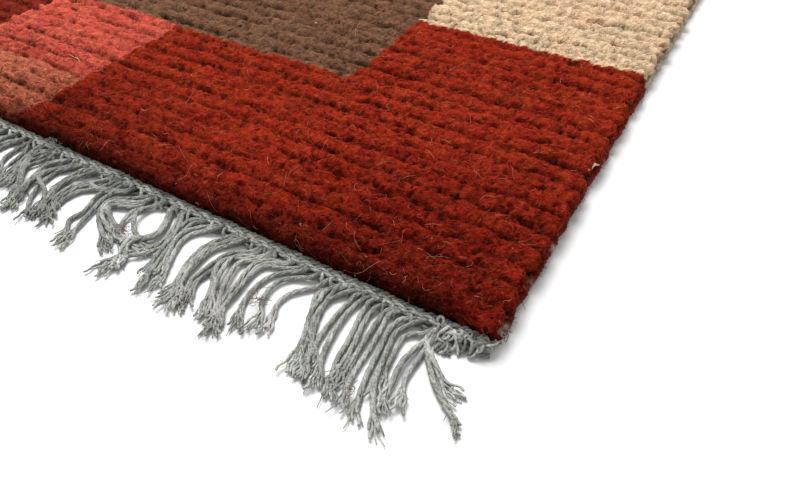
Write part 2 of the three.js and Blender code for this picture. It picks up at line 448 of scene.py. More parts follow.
def points_of(mesh: bpy.types.Mesh) -> np.ndarray:
    """A mesh's points, one row each."""
    points = np.zeros(len(mesh.vertices) * 3)
    mesh.vertices.foreach_get("co", points)
    return points.reshape(-1, 3)


def draw_down(shape: bmesh.types.BMesh, height: float, reach: float = math.inf) -> None:
    """Draws the open rim of a sheet down into a skirt.

    Args:
        shape: The sheet.
        height: The height that the skirt reaches.
        reach: How far from the middle its foot lies across the rug at most.
    """
    rim = [edge for edge in shape.edges if edge.is_boundary]
    for item in bmesh.ops.extrude_edge_only(shape, edges=rim)["geom"]:
        if isinstance(item, bmesh.types.BMVert):
            item.co.x = max(-reach, min(reach, item.co.x))
            item.co.z = height


def closed_mesh(shape: bmesh.types.BMesh, name: str) -> bpy.types.Mesh:
    """Closes a sheet's open rim with one face and makes its mesh.

    Args:
        shape: The sheet, which is freed.
        name: The mesh's name.

    Returns:
        The mesh, its faces pointing outwards.
    """
    bmesh.ops.contextual_create(shape, geom=[edge for edge in shape.edges if edge.is_boundary])
    bmesh.ops.recalc_face_normals(shape, faces=shape.faces)
    mesh = bpy.data.meshes.new(name)
    shape.to_mesh(mesh)
    shape.free()
    return mesh


class JoinedShapes:
    """Many small shapes gathered into one mesh, with a colour and a map place for each point."""

    def __init__(self) -> None:
        """Starts with nothing gathered."""
        self.points: list[np.ndarray] = []
        self.colours: list[np.ndarray] = []
        self.ways: list[np.ndarray] = []
        self.faces: list[np.ndarray] = []
        self.count = 0

    def add(
        self,
        points: np.ndarray,
        faces: list[np.ndarray],
        colours: np.ndarray,
        ways: np.ndarray,
    ) -> None:
        """Adds shapes.

        Args:
            points: Places in millimetres, one row each.
            faces: Arrays of corner indices, each with faces of one number of corners.
            colours: A linear colour for each point.
            ways: For each point, how far round and how far along its shape it lies.
        """
        self.points.append(points)
        self.colours.append(colours)
        self.ways.append(ways)
        self.faces.extend(f + self.count for f in faces)
        self.count += len(points)

    def build(self, name: str) -> bpy.types.Object:
        """Makes the mesh object, in metres at the origin.

        Args:
            name: The object's name.

        Returns:
            The new object.
        """
        points = np.concatenate(self.points) * MM
        mesh = bpy.data.meshes.new(name)
        mesh.vertices.add(len(points))
        mesh.vertices.foreach_set("co", points.ravel())
        corners = np.concatenate([f.ravel() for f in self.faces]).astype(np.int32)
        totals = np.concatenate([np.full(len(f), f.shape[1], np.int32) for f in self.faces])
        starts = np.concatenate([[0], np.cumsum(totals)[:-1]]).astype(np.int32)
        mesh.loops.add(len(corners))
        mesh.loops.foreach_set("vertex_index", corners)
        mesh.polygons.add(len(totals))
        mesh.polygons.foreach_set("loop_start", starts)
        mesh.update(calc_edges=True)
        ways = np.concatenate(self.ways)[corners]
        mesh.uv_layers.new(name="yarn_way").data.foreach_set("uv", ways.ravel())
        return coloured(mesh, np.concatenate(self.colours))


@dataclass(frozen=True)
class Tubes:
    """Thin tubes along many routes at once, closed at both ends.

    Each tube's map starts a way shift after the last one's, so that no two have the same streaks.
    """

    sides: int
    way_shift: float = 7.3

    def add_to(
        self,
        gathered: JoinedShapes,
        routes: np.ndarray,
        radii: np.ndarray | float,
        colours: np.ndarray,
        across: np.ndarray | None = None,
    ) -> None:
        """Gathers a tube along each route, and none for a route whose places are no numbers.

        Args:
            gathered: Where the tubes go.
            routes: Routes x places x 3, in millimetres.
            radii: Routes x places, or what broadcasts to it.
            colours: Routes x places x 3, or what broadcasts to it.
            across: A direction for each route that it never follows, or None for straight up.
        """
        number = np.flatnonzero(np.isfinite(routes).all(axis=(1, 2)))
        radii = np.broadcast_to(radii, routes.shape[:2])[number]
        colours = np.broadcast_to(colours, routes.shape)[number]
        routes = routes[number]
        count, places = routes.shape[:2]
        side, above = beside_and_above(routes, UP if across is None else across[number, None, :])
        turn = 2 * math.pi * np.arange(self.sides) / self.sides
        ring = np.cos(turn)[:, None] * side[:, :, None, :] + np.sin(turn)[:, None] * above[:, :, None, :]
        points = routes[:, :, None, :] + radii[:, :, None, None] * ring
        n, s, k = np.indices((count, places - 1, self.sides))
        first = (n * places + s) * self.sides
        next_ring = first + self.sides
        after = (k + 1) % self.sides
        quads = np.stack([first + k, next_ring + k, next_ring + after, first + after], axis=-1)
        ends = np.arange(count)[:, None] * places * self.sides + np.arange(self.sides)
        far_ends = (ends + (places - 1) * self.sides)[:, ::-1]
        along = lengths_along(routes) + self.way_shift * number[:, None]
        way = np.stack(np.broadcast_arrays(turn / (2 * math.pi), along[:, :, None]), axis=-1)
        gathered.add(
            points.reshape(-1, 3),
            [quads.reshape(-1, 4), ends, far_ends],
            np.broadcast_to(colours[:, :, None, :], points.shape).reshape(-1, 3),
            way.reshape(-1, 2),
        )


@dataclass(frozen=True)
class Cable:
    """A soft yarn of a few thin plies with little twist."""

    plies: int
    ply_radius: float
    offset: float
    pitch: float
    sides: int
    spread: tuple[float, float] = (1.7, 3.3)
    wave: float = 0.5
    uneven_cut: float = 0.10
    paler_end: float = 0.12
    root_shade: float = 0.45

    def add_to(
        self,
        gathered: JoinedShapes,
        routes: np.ndarray,
        shades: np.ndarray,
        rng: np.random.Generator,
        opened: float = 0.0,
    ) -> None:
        """Gathers a cable along each route.

        Args:
            gathered: Where the cables go.
            routes: Cables x places x 3, in even steps.
            shades: A linear colour for each cable.
            rng: Where chance comes from.
            opened: The length over which the far end opens into loose plies, or 0 for none.
        """
        count, places = routes.shape[:2]
        whole = np.linalg.norm(np.diff(routes, axis=1), axis=2).sum(axis=1)[:, None]
        open_length = np.minimum(opened * rng.uniform(0.75, 1.25, (count, 1)), 0.6 * whole) + 1e-6
        phase = rng.uniform(0, 2 * math.pi, (count, 1))
        pitch = self.pitch * rng.uniform(0.8, 1.25, (count, 1))
        slots = rng.permuted(np.tile(np.linspace(-1.0, 1.0, self.plies), (count, 1)), axis=1)
        spread = rng.uniform(*self.spread, (count, 1))
        t = np.linspace(0.0, 1.0, places)[None]
        if opened:
            t = 1.0 - (1.0 - t) ** 1.35
        for ply in range(self.plies):
            share = t * (1.0 - (opened > 0) * rng.uniform(0.0, self.uneven_cut, (count, 1)))
            along = share * whole
            line = along_routes(routes, share)
            side, above = beside_and_above(line)
            loose = (opened > 0) * eased((along - whole + open_length) / open_length)
            turn = phase + 2 * math.pi * (ply / self.plies + along / pitch)
            swing = along * rng.uniform(0.9, 1.6, (count, 1)) + rng.uniform(0, 6, (count, 1))
            apart = slots[:, ply, None] * spread + self.wave * np.sin(swing)
            lifted = rng.uniform(-0.3, 0.8, (count, 1))
            sideways = (1 - loose) * self.offset * np.cos(turn) + loose * apart
            upward = (1 - loose) * self.offset * np.sin(turn) + loose * lifted
            middle = line + side * sideways[..., None] + above * upward[..., None]
            middle[..., 2] = np.maximum(middle[..., 2], self.ply_radius)
            swell = 1 + 0.13 * soft_noise(middle, 1.9, 51 + ply) + 0.12 * soft_noise(middle, 0.9, 61 + ply)
            radii = self.ply_radius * swell * (1 - 0.15 * loose)
            if opened:
                radii[:, -1] *= 0.6
            tone = rng.normal(1.0, 0.09, (count, 1)) * (1 + 0.26 * soft_noise(middle, 1.0, 71 + ply))
            # Painted shade: each twisted ply darker on the cable's underside; the opened end paler
            tone = tone * (1 - 0.10 * (1 - loose) * (1 - np.sin(turn))) * (1 + self.paler_end * loose)
            # Painted shade: the fringe yarns darker where they leave the braid
            tone = tone * (1 - (opened > 0) * self.root_shade * np.exp(-(along / 4.0) ** 2))
            Tubes(self.sides).add_to(gathered, middle, radii, shades[:, None, :] * tone[..., None])


@dataclass(frozen=True)
class DarkPatch:
    """A patch where the pile's colour is painted darker: its middle, its reach both ways and how dark it is."""

    x: float
    y: float
    across: float
    along: float
    depth: float

    def at(self, x: np.ndarray, y: np.ndarray) -> np.ndarray:
        """How much the patch darkens places."""
        return self.depth * np.exp(-((x - self.x) / self.across) ** 2 - ((y - self.y) / self.along) ** 2)


@dataclass
class PilePlan:
    """Where the pile's rows and colour blocks lie, how its dye lots vary, and where shade is painted into its colour.
    """

    size: RugSize
    corner_shade_reach: float = 110.0
    dark_patches: tuple[DarkPatch, ...] = (
        DarkPatch(72.0, -426.0, 14.0, 10.0, 0.24),
        DarkPatch(250.0, -423.0, 30.0, 19.0, 0.17),
    )
    heathered: tuple[float, float, float] = (0.13, 0.50, 0.22)

    def __post_init__(self) -> None:
        """Works out how each row wavers."""
        size = self.size
        half = size.half_width - size.wobble_inset
        self.columns = np.linspace(-half, half, size.wobble_columns)
        self.wobbles = np.array([
            [size.row_wobble * waver(row + 1, 11 + column) for column in range(size.wobble_columns)]
            for row in range(size.rows)
        ])

    def row_y(self, rows: np.ndarray, x: np.ndarray) -> np.ndarray:
        """Where the crests of rows lie along Y at the places x.

        Args:
            rows: Row numbers, from the near end.
            x: Places across the rug.

        Returns:
            The crests' Y.
        """
        apart = self.columns[1] - self.columns[0]
        position = np.clip((x - self.columns[0]) / apart, 0, len(self.columns) - 1.001)
        column = position.astype(int)
        share = eased(position - column)
        held = np.clip(rows, 0, self.size.rows - 1)
        shift = self.wobbles[held, column] * (1 - share) + self.wobbles[held, column + 1] * share
        return -self.size.half_length + (rows + 0.5) * self.size.row_pitch + shift

    def dyes_at(self, x: np.ndarray, y: np.ndarray) -> np.ndarray:
        """The wool's colour at places on the pile, with painted shade near the corner and along the near end.

        Args:
            x: Places across the rug.
            y: Places along the rug.

        Returns:
            A linear colour for each place.
        """
        places = on_floor(x, y)
        wavy_x = x + 1.5 * soft_noise(places, (400.0, 26.0, 1.0), 3)
        wavy_x = wavy_x + 1.6 * soft_noise(places, 6.0, 4) + 1.4 * soft_noise(places, 2.5, 2)
        wavy_y = y + 1.4 * soft_noise(places, (38.0, 400.0, 1.0), 5) + 1.2 * soft_noise(places, 2.7, 1)
        colours = np.broadcast_to(np.array(Dye.DEEP_RED.value), (*x.shape, 3)).copy()
        for block in BLOCKS:
            inside = (wavy_x > block.x_from) & (wavy_x < block.x_to)
            inside &= (wavy_y > block.y_from) & (wavy_y < block.y_to)
            colours[inside] = block.dye.value
        lot = soft_noise(places, (60.0, 12.0, 1.0), 6) + 0.6 * soft_noise(places, (9.0, 7.0, 1.0), 7)
        from_corner = np.hypot(0.6 * (x - self.size.half_width), y + self.size.half_length)
        # Painted shade: the pile darker towards the near right corner
        corner_shade = 1.0 - eased((from_corner - 12.0) / self.corner_shade_reach)
        from_end = y + self.size.half_length
        # Painted shade: a dark band along the near end, where the pile rolls down into its own shadow, fading out at
        # the side edge
        end_shade = np.exp(-(from_end / 6.5) ** 2) * eased((self.size.half_width - 8.0 - x) / 14.0)
        # Patches where the pile's colour is painted darker
        patch_dark = sum(patch.at(x, y) for patch in self.dark_patches)
        # Painted shade from the corner, the near end and a wider band along it, together with the darker patches
        shade_and_patches = 0.26 * corner_shade + 0.46 * end_shade + patch_dark + 0.12 * np.exp(-(from_end / 27.0) ** 2)
        # Painted shade: darker towards the left near the near end
        shade_and_patches = shade_and_patches + 0.22 * eased((180.0 - x) / 90.0) * np.exp(-(from_end / 80.0) ** 2)
        colours = colours * (1.0 + 0.05 * lot - shade_and_patches)[..., None]
        # Where shade is painted, and in the patches, green and blue drop further, so that the shade is a deeper red
        shade_and_patch_deepening = 0.22 * corner_shade + 0.30 * end_shade + patch_dark
        colours[..., 1:] *= (1.0 + 0.06 * soft_noise(places, (12.0, 8.0, 1.0), 8) - shade_and_patch_deepening)[..., None]
        redness = (1.0 - colours[..., 1:2] / colours[..., :1]) ** 4
        heather = soft_noise(places, (4.4, 3.2, 1.0), 9) + 0.7 * soft_noise(places, (1.9, 1.6, 1.0), 10)
        return colours * np.exp(redness * heather[..., None] * np.array(self.heathered))

    def shaded(self, dyes: np.ndarray, shade: np.ndarray) -> np.ndarray:
        """Dyed wool that is darker in its hollows, pale wool less so as light goes through it.

        Args:
            dyes: Linear colours.
            shade: How bright each place is, about 1 on top.

        Returns:
            The colours in their shade.
        """
        held = np.clip(shade, 0.05, 1.4)[..., None]
        return dyes * held ** (1.0 - 0.5 * dyes.max(axis=-1, keepdims=True))


class Wire:
    """A shader socket that takes part in arithmetic, each sign adding a Math node."""

    def __init__(self, graph: "Graph", socket: bpy.types.NodeSocket) -> None:
        """Wraps a socket of a graph."""
        self.graph = graph
        self.socket = socket

    def _math(self, operation: str, other: "Wire | float") -> "Wire":
        """The output of a Math node on this value and another."""
        return self.graph.node("ShaderNodeMath", {"operation": operation}, {0: self, 1: other})

    def __add__(self, other: "Wire | float") -> "Wire":
        """This value plus another."""
        return self._math("ADD", other)

    def __mul__(self, other: "Wire | float") -> "Wire":
        """This value times another."""
        return self._math("MULTIPLY", other)

    def __sub__(self, other: "Wire | float") -> "Wire":
        """This value less another."""
        return self._math("SUBTRACT", other)

    def __abs__(self) -> "Wire":
        """This value without its sign."""
        return self._math("ABSOLUTE", 0.0)


class Graph:
    """A new material and its nodes."""

    def __init__(self, name: str) -> None:
        """Starts an empty material with its output.

        Args:
            name: The material's name.
        """
        self.material = bpy.data.materials.new(name)
        self.material.use_nodes = True
        self.tree = self.material.node_tree
        self.tree.nodes.clear()

    def node(self, kind: str, settings: dict, inputs: dict, output: int | str = 0) -> Wire:
        """Adds a node.

        Args:
            kind: The node's type.
            settings: Its own settings, such as a Math node's operation.
            inputs: A value or Wire for each named or numbered socket.
            output: The name or number of the output that is wanted.

        Returns:
            That output.
        """
        made = self.tree.nodes.new(kind)
        for key, value in settings.items():
            setattr(made, key, value)
        for key, value in inputs.items():
            if isinstance(value, Wire):
                self.tree.links.new(value.socket, made.inputs[key])
            else:
                made.inputs[key].default_value = value
        return Wire(self, made.outputs[output] if made.outputs else None)

    def noise(self, vector: Wire, scale: float, detail: float = 2.0, roughness: float = 0.5) -> Wire:
        """A noise texture's factor on a vector."""
        inputs = {"Vector": vector, "Scale": scale, "Detail": detail, "Roughness": roughness}
        return self.node("ShaderNodeTexNoise", {}, inputs)

    def curls(self, vector: Wire, grain: float, width: float, which: float) -> Wire:
        """Fine curly lines, 1 along each line and 0 between them.

        Args:
            vector: The place that the lines are drawn at.
            grain: How far apart the lines are, in millimetres.
            width: How wide they are, as a share of the noise.
            which: Which set of lines.

        Returns:
            The lines' strength.
        """
        wander = self.node(
            "ShaderNodeTexNoise",
            {"noise_dimensions": "4D"},
            {"Vector": vector, "W": which, "Scale": 1.0 / (grain * MM), "Detail": 1.0, "Distortion": 0.5},
        )
        return self.node(
            "ShaderNodeMapRange",
            {"clamp": True},
            {"Value": abs(wander - 0.5), "From Min": 0.0, "From Max": width, "To Min": 1.0, "To Max": 0.0},
        )

    def finish(self, shader: Wire) -> bpy.types.Material:
        """Links the surface and gives the material."""
        self.node("ShaderNodeOutputMaterial", {}, {"Surface": shader})
        return self.material


@dataclass(frozen=True)
class YarnFinish:
    """A soft spun fibre: its colour, with its painted shade, comes from the yarn, its streaks and fuzz from here."""

    name: str
    sheen: float
    sheen_tint: tuple[float, float, float]
    grain: float
    lump: float
    unevenness: float
    relief: float
    streaked: bool = False
    curly: bool = False
    curl_highlight: float = 0.012
    curl_highlight_tint: tuple[float, float, float] = (0.75, 0.46, 0.34)
    streak_stretch: tuple[float, float, float] = (7.0, 0.9, 1.0)
    relief_depth: float = 0.0004
    roughness: float = 0.95
    shine: float = 0.01
    sheen_roughness: float = 0.45

    def material(self) -> bpy.types.Material:
        """Makes the material.

        Returns:
            The new material.
        """
        graph = Graph(self.name)
        place = graph.node("ShaderNodeTexCoord", {}, {}, "Object")
        yarn = graph.node("ShaderNodeAttribute", {"attribute_name": "yarn_colour"}, {}, "Color")
        fibre = graph.noise(place, 1.0 / (self.grain * MM), 3.0, 0.65)
        lump = graph.noise(place, 1.0 / (self.lump * MM), 2.0)
        relief = fibre
        if self.streaked:
            way = graph.node("ShaderNodeUVMap", {"uv_map": "yarn_way"}, {}, "UV")
            inputs = {0: way, 1: self.streak_stretch}
            drawn_out = graph.node("ShaderNodeVectorMath", {"operation": "MULTIPLY"}, inputs)
            streak = graph.noise(drawn_out, 1.6, 2.0)
            relief = fibre + streak * 0.4
            fibre = fibre * 0.85 + streak * 0.15
        tone = fibre * self.unevenness + lump * (0.7 * self.unevenness) + (1.0 - 0.85 * self.unevenness)
        if self.curly:
            # Curly fibre lines, partly fibre texture and partly painted highlight and shade: lighter along the lines,
            # darker between them
            lines = graph.curls(place, 3.6, 0.05, 1.0) + graph.curls(place, 2.4, 0.06, 5.0)
            lines = lines + graph.curls(place, 1.6, 0.075, 9.0)
            tone = tone + lines * 0.28 - 0.155
            relief = relief * 0.7 + lines * 0.5
        colour = graph.node("ShaderNodeVectorMath", {"operation": "SCALE"}, {0: yarn, "Scale": tone})
        # Painted highlight: the lines mixed toward a pale warm tint
        if self.curly:
            inputs = {"Factor": lines * self.curl_highlight, "A": colour, "B": (*self.curl_highlight_tint, 1.0)}
            colour = graph.node("ShaderNodeMix", {"data_type": "RGBA"}, inputs, "Result")
        inputs = {"Strength": self.relief, "Distance": self.relief_depth, "Height": relief}
        bump = graph.node("ShaderNodeBump", {}, inputs)
        return graph.finish(graph.node("ShaderNodeBsdfPrincipled", {}, {
            "Base Color": colour,
            "Roughness": self.roughness,
            "Specular IOR Level": self.shine,
            "Sheen Weight": self.sheen,
            "Sheen Roughness": self.sheen_roughness,
            "Sheen Tint": (*self.sheen_tint, 1.0),
            "Normal": bump,
        }))


@dataclass(frozen=True)
class FloorFinish:
    """Plain pale studio paper."""

    grey: float = 0.88
    roughness: float = 0.9
    shine: float = 0.1
    grain: float = 2.5
    relief: float = 0.02
    relief_depth: float = 0.0001

    def material(self) -> bpy.types.Material:
        """Makes the material."""
        graph = Graph("studio_paper")
        place = graph.node("ShaderNodeTexCoord", {}, {}, "Object")
        grain = graph.noise(place, 1.0 / (self.grain * MM))
        inputs = {"Strength": self.relief, "Distance": self.relief_depth, "Height": grain}
        bump = graph.node("ShaderNodeBump", {}, inputs)
        return graph.finish(graph.node("ShaderNodeBsdfPrincipled", {}, {
            "Base Color": (self.grey, self.grey, self.grey, 1.0),
            "Roughness": self.roughness,
            "Specular IOR Level": self.shine,
            "Normal": bump,
        }))


PILE_WOOL = YarnFinish("pile_wool", 0.018, (1.0, 0.35, 0.20), 0.6, 6.0, 0.55, 1.0, curly=True)
EDGE_WOOL = YarnFinish("edge_wool", 0.03, (1.0, 0.6, 0.5), 0.5, 5.0, 0.8, 0.9, curly=True, curl_highlight=0.04)
WARP_COTTON = YarnFinish("warp_cotton", 0.08, (1.0, 1.0, 1.0), 0.85, 7.0, 2.1, 1.6, streaked=True)


@dataclass(frozen=True)
class SeenCorner:
    """The part of the unrolled pile that gets a full surface, in finer steps where it is seen closer."""

    side_and_near_end: tuple[float, float] = (306.6, -458.2)
    across_near_end: tuple[float, float] = (50.0, -458.2)
    farthest: tuple[float, float] = (-74.0, -374.0)
    side_far: tuple[float, float] = (306.6, -180.0)
    closeness: tuple[float, float, float, float] = (1.0, 0.66, 0.50, 0.54)

    @property
    def corners(self) -> np.ndarray:
        """The four corners in order, starting at the rug's own corner."""
        return np.array([self.side_and_near_end, self.across_near_end, self.farthest, self.side_far])

    def places(self, from_side: np.ndarray, from_end: np.ndarray) -> np.ndarray:
        """Unrolled places for shares of the way from the side edge and from the near end.

        Args:
            from_side: Shares from 0 at the side edge to 1.
            from_end: Shares from 0 at the near end to 1.

        Returns:
            X and Y in the last axis.
        """
        s, t = from_side, from_end
        shares = np.stack([(1 - s) * (1 - t), s * (1 - t), s * t, (1 - s) * t], axis=-1)
        weights = shares * np.array(self.closeness)
        return weights @ self.corners / weights.sum(axis=-1, keepdims=True)

    def inside(self, x: np.ndarray, y: np.ndarray) -> np.ndarray:
        """How far inside the stretch's two inner borders places lie, in millimetres."""
        nearest = np.full(np.shape(x), np.inf)
        for first, second in (self.corners[1:3], self.corners[2:4]):
            along = unit(second - first)
            nearest = np.minimum(nearest, (x - first[0]) * along[1] - (y - first[1]) * along[0])
        return nearest


@dataclass(frozen=True)
class Skin:
    """A stretch of the pile's surface as a grid: its points, outward ways and colours."""

    points: np.ndarray
    outward: np.ndarray
    colours: np.ndarray

    def sampled(self, grid: np.ndarray, at: np.ndarray) -> np.ndarray:
        """Values between the grid's own points.

        Args:
            grid: One of the skin's arrays.
            at: Places as steps across and along the grid, in the last axis.

        Returns:
            The blended values.
        """
        i = np.clip(at[..., 0], 0.0, grid.shape[0] - 1.001)
        j = np.clip(at[..., 1], 0.0, grid.shape[1] - 1.001)
        low_i, low_j = i.astype(int), j.astype(int)
        part_i, part_j = (i - low_i)[..., None], (j - low_j)[..., None]
        near = grid[low_i, low_j] * (1 - part_i) + grid[low_i + 1, low_j] * part_i
        far = grid[low_i, low_j + 1] * (1 - part_i) + grid[low_i + 1, low_j + 1] * part_i
        return near * (1 - part_j) + far * part_j

    @property
    def steps(self) -> tuple[int, int]:
        """How many steps the grid has across and along."""
        return self.points.shape[0] - 1, self.points.shape[1] - 1

    def anywhere(self, rng: np.random.Generator, count: int) -> np.ndarray:
        """Random places on the grid, each as its steps across and along."""
        return np.stack([rng.uniform(0, steps, count) for steps in self.steps], axis=-1)

    def step_sizes(self) -> np.ndarray:
        """The length of a step both ways at each point."""
        steps = [np.linalg.norm(np.gradient(self.points, axis=axis), axis=-1) for axis in (0, 1)]
        return np.stack(steps, axis=-1)


@dataclass(frozen=True)
class Fleck:
    """A small odd bit of fibre on the pile, its line in millimetres from the rug's near right corner."""

    line: tuple[tuple[float, float], ...]
    radius: float
    lift: float
    colour: tuple[float, float, float]


PILE_FLECKS = (
    Fleck(((-172.1, 137.5), (-171.6, 137.9), (-171.0, 138.1)), 0.38, 0.3, (0.80, 0.74, 0.68)),
    Fleck(((-263.9, 49.6), (-259.0, 49.7), (-254.3, 48.9)), 0.26, 0.4, (0.62, 0.40, 0.27)),
    Fleck(((-25.6, 189.3), (-24.4, 188.3), (-23.2, 187.6)), 0.36, 0.3, (0.42, 0.05, 0.03)),
    Fleck(((-208.7, 106.3), (-206.8, 111.3), (-207.4, 118.0), (-210.4, 124.2)), 0.55, -0.1,
        (0.035, 0.017, 0.010)),
    Fleck(((-147.2, 166.2), (-146.0, 166.6), (-144.9, 166.6)), 0.8, -0.35, (0.025, 0.005, 0.003)),
    Fleck(((-2.9, 89.4), (-2.2, 93.0), (-0.8, 96.3)), 0.42, 0.3, (0.74, 0.60, 0.44)),
)


@dataclass(frozen=True)
class FeltWeights:
    """How much each feature of the felted pile counts."""

    slope: float
    groove: float
    pits: float
    tufts: float
    locks: float
    curls: float
    knots: float

    def sunken(self, slope: np.ndarray, groove: np.ndarray, pits: np.ndarray) -> np.ndarray:
        """What the sides of the rows, the grooves between them and the pits take away."""
        return self.slope * slope + self.groove * groove + self.pits * pits

    def raised(self, tufts: np.ndarray, locks: np.ndarray, curls: np.ndarray) -> np.ndarray:
        """What the tufts, their locks and the locks' curls add."""
        return self.tufts * tufts + self.locks * locks + self.curls * curls


# Millimetres of height, and shares of brightness in the painted light and shade
RISE = FeltWeights(slope=0.9, groove=2.2, pits=0.8, tufts=0.66, locks=0.36, curls=0.20, knots=0.5)
SHADE = FeltWeights(slope=0.15, groove=0.52, pits=0.42, tufts=0.19, locks=0.20, curls=0.17, knots=0.20)


@dataclass(frozen=True)
class Stretch:
    """A stretch of the seen corner: its shares of the way from the side edge, its grid and its wool."""

    name: str
    from_side: tuple[float, float]
    steps: tuple[int, int]
    fibres: int
    hairs: int
    edge_hairs: int


SEEN_STRETCHES = (
    Stretch("near", (0.0, 0.5), (210, 300), fibres=4750, hairs=420, edge_hairs=200),
    Stretch("beyond", (0.498, 1.0), (210, 180), fibres=3800, hairs=230, edge_hairs=0),
)


@dataclass
class PileField:
    """The knotted pile: a ribbed sheet, and over the seen corner its felted surface and loose wool."""

    size: RugSize
    plan: PilePlan
    seen: SeenCorner = SeenCorner()
    crest: float = 9.9
    edge_round: float = 2.4
    side_inset: float = 1.6
    sunk: float = 4.6
    foot_inset: float = 4.7
    overhang: float = 2.4
    end_tuck: float = 1.5
    edge_fall: float = 2.2
    edge_run: float = 3.0
    skirt_heights: tuple[float, float] = (4.4, 0.3)
    underside: float = 0.4
    groove_width: float = 1.1
    ground_columns: int = 84
    ground_steps_per_row: int = 3
    fibre_places: int = 6
    fibre_radius: float = 0.13
    rng: np.random.Generator = field(default_factory=lambda: np.random.default_rng(7))

    def openness(self, line: np.ndarray, x: np.ndarray) -> np.ndarray:
        """How open the groove is before row number line, from 0 shut to 1 open.

        Args:
            line: Row numbers.
            x: Places across the rug.

        Returns:
            The groove's openness at each place, less near the end, where the rows are pressed shut.
        """
        at = on_floor(x, line * 37.0)
        wander = soft_noise(at, (11.0, 1.0, 1.0), 35) + 0.7 * soft_noise(at, (4.0, 1.0, 1.0), 36)
        pressed = 1.0 - eased((line * self.size.row_pitch - 25.0) / 90.0)
        return (0.26 + 0.74 * eased((wander + 0.15) / 0.75)) * (1.0 - 0.35 * pressed)

    def ribs(self, x: np.ndarray, y: np.ndarray) -> tuple[np.ndarray, np.ndarray]:
        """The rows of the pile.

        Args:
            x: Places across the rug.
            y: Places along the rug.

        Returns:
            From 0 on a crest to 1 on the line between rows, and how deep in an open groove a place lies.
        """
        pitch = self.size.row_pitch
        places = on_floor(x, y)
        y = y + 1.5 * soft_noise(places, (8.0, 6.0, 1.0), 33)
        y = y + soft_noise(places, (3.2, 3.4, 1.0), 34)
        rows = np.clip(((y + self.size.half_length) / pitch).astype(int), 0, self.size.rows - 1)
        off = (y - self.plan.row_y(rows, x)) / (pitch / 2)
        line = rows + (off > 0)
        between_rows = (line > 0) & (line < self.size.rows)
        slope = np.clip(np.abs(off), 0.0, 1.1) ** 3 * between_rows
        from_line = np.maximum(1.0 - np.abs(off), 0.0) * pitch / 2
        groove = np.exp(-(from_line / self.groove_width) ** 2) * self.openness(line, x) * between_rows
        return slope, groove

    def ground_height(self, x: np.ndarray, y: np.ndarray) -> tuple[np.ndarray, np.ndarray]:
        """How high the ribbed sheet stands.

        Args:
            x: Places across the rug.
            y: Places along the rug.

        Returns:
            The heights, and a shade from 0 to 1.
        """
        slope, groove = self.ribs(x, y)
        places = on_floor(x, y)
        lumps = 0.35 * soft_noise(places, (6.0, 5.0, 1.0), 11)
        lumps = lumps + 0.35 * soft_noise(places, (3.4, 3.6, 1.0), 12)
        return self.crest - 1.5 * slope - 2.0 * groove + lumps, 1.0 - 0.4 * slope - 0.4 * groove

    def ground(self) -> bpy.types.Object:
        """The whole field as one flat sheet with a rib for each pile row.

        Returns:
            The sheet's object.
        """
        half_x, half_y = self.size.half_width - self.side_inset, self.size.half_length - 0.5
        shape = bmesh.new()
        lines = self.size.rows * self.ground_steps_per_row
        bmesh.ops.create_grid(shape, x_segments=self.ground_columns, y_segments=lines, size=1.0)
        places = np.array([v.co[:2] for v in shape.verts])
        x, y = places[:, 0] * half_x, places[:, 1] * half_y
        height, _ = self.ground_height(x, y)
        edge = np.minimum(half_x - np.abs(x), half_y - np.abs(y))
        height = height - self.edge_fall * (1 - np.clip(edge / self.edge_run, 0, 1)) ** 2
        hidden = eased((self.seen.inside(x, y) - 2.0) / 8.0)
        height = height - self.sunk * hidden
        x = x - self.overhang * hidden * (places[:, 0] > 0.999)
        y = y + self.end_tuck * hidden * (places[:, 1] < -0.999)
        for vert, px, py, pz in zip(shape.verts, x, y, height, strict=True):
            vert.co = (px * MM, py * MM, pz * MM)
        for level in self.skirt_heights:
            draw_down(shape, level * MM, (self.size.half_width - self.foot_inset) * MM)
        mesh = closed_mesh(shape, "pile_ground")
        at = points_of(mesh) / MM
        _, shade = self.ground_height(at[:, 0], at[:, 1])
        # Painted shade: the sheet darker lower down, on its turned edges and skirt
        height_shade = 0.45 + 0.55 * eased((at[:, 2] - 1.0) / 7.0)
        shade = shade * (0.92 + 0.12 * soft_noise(at, 2.6, 21)) * height_shade
        return coloured(mesh, self.plan.shaded(self.plan.dyes_at(at[:, 0], at[:, 1]), shade))

    def turned_down(self, past: np.ndarray, tuck: float) -> tuple[np.ndarray, np.ndarray]:
        """The pile's turned edge.

        Args:
            past: How far past the start of the turn places lie on the unrolled pile.
            tuck: How much the foot of the edge draws in.

        Returns:
            How far out and how far down they come.
        """
        bend = self.edge_round
        angle = np.clip(past / bend, 0.0, math.pi / 2)
        below = np.maximum(past - bend * math.pi / 2, 0.0)
        drawn_in = 0.1 * below + tuck * eased((below - 1.6) / 2.2)
        return np.minimum(past, 0.0) + bend * np.sin(angle) - drawn_in, bend * (1 - np.cos(angle)) + below

    def folded(self, unrolled: np.ndarray) -> np.ndarray:
        """Where places of the unrolled pile lie, without their tufts.

        Args:
            unrolled: X and Y in the last axis.

        Returns:
            Places with 3 numbers in the last axis.
        """
        start_x = self.size.half_width - self.side_inset - self.edge_round
        start_y = self.size.half_length - self.edge_round
        out_x, down_x = self.turned_down(unrolled[..., 0] - start_x, self.overhang)
        out_y, down_y = self.turned_down(-unrolled[..., 1] - start_y, 0.0)
        down = (down_x ** 4 + down_y ** 4) ** 0.25
        height = np.maximum(self.crest - down, 0.6)
        return np.stack([start_x + out_x, -start_y - out_y, height], axis=-1)

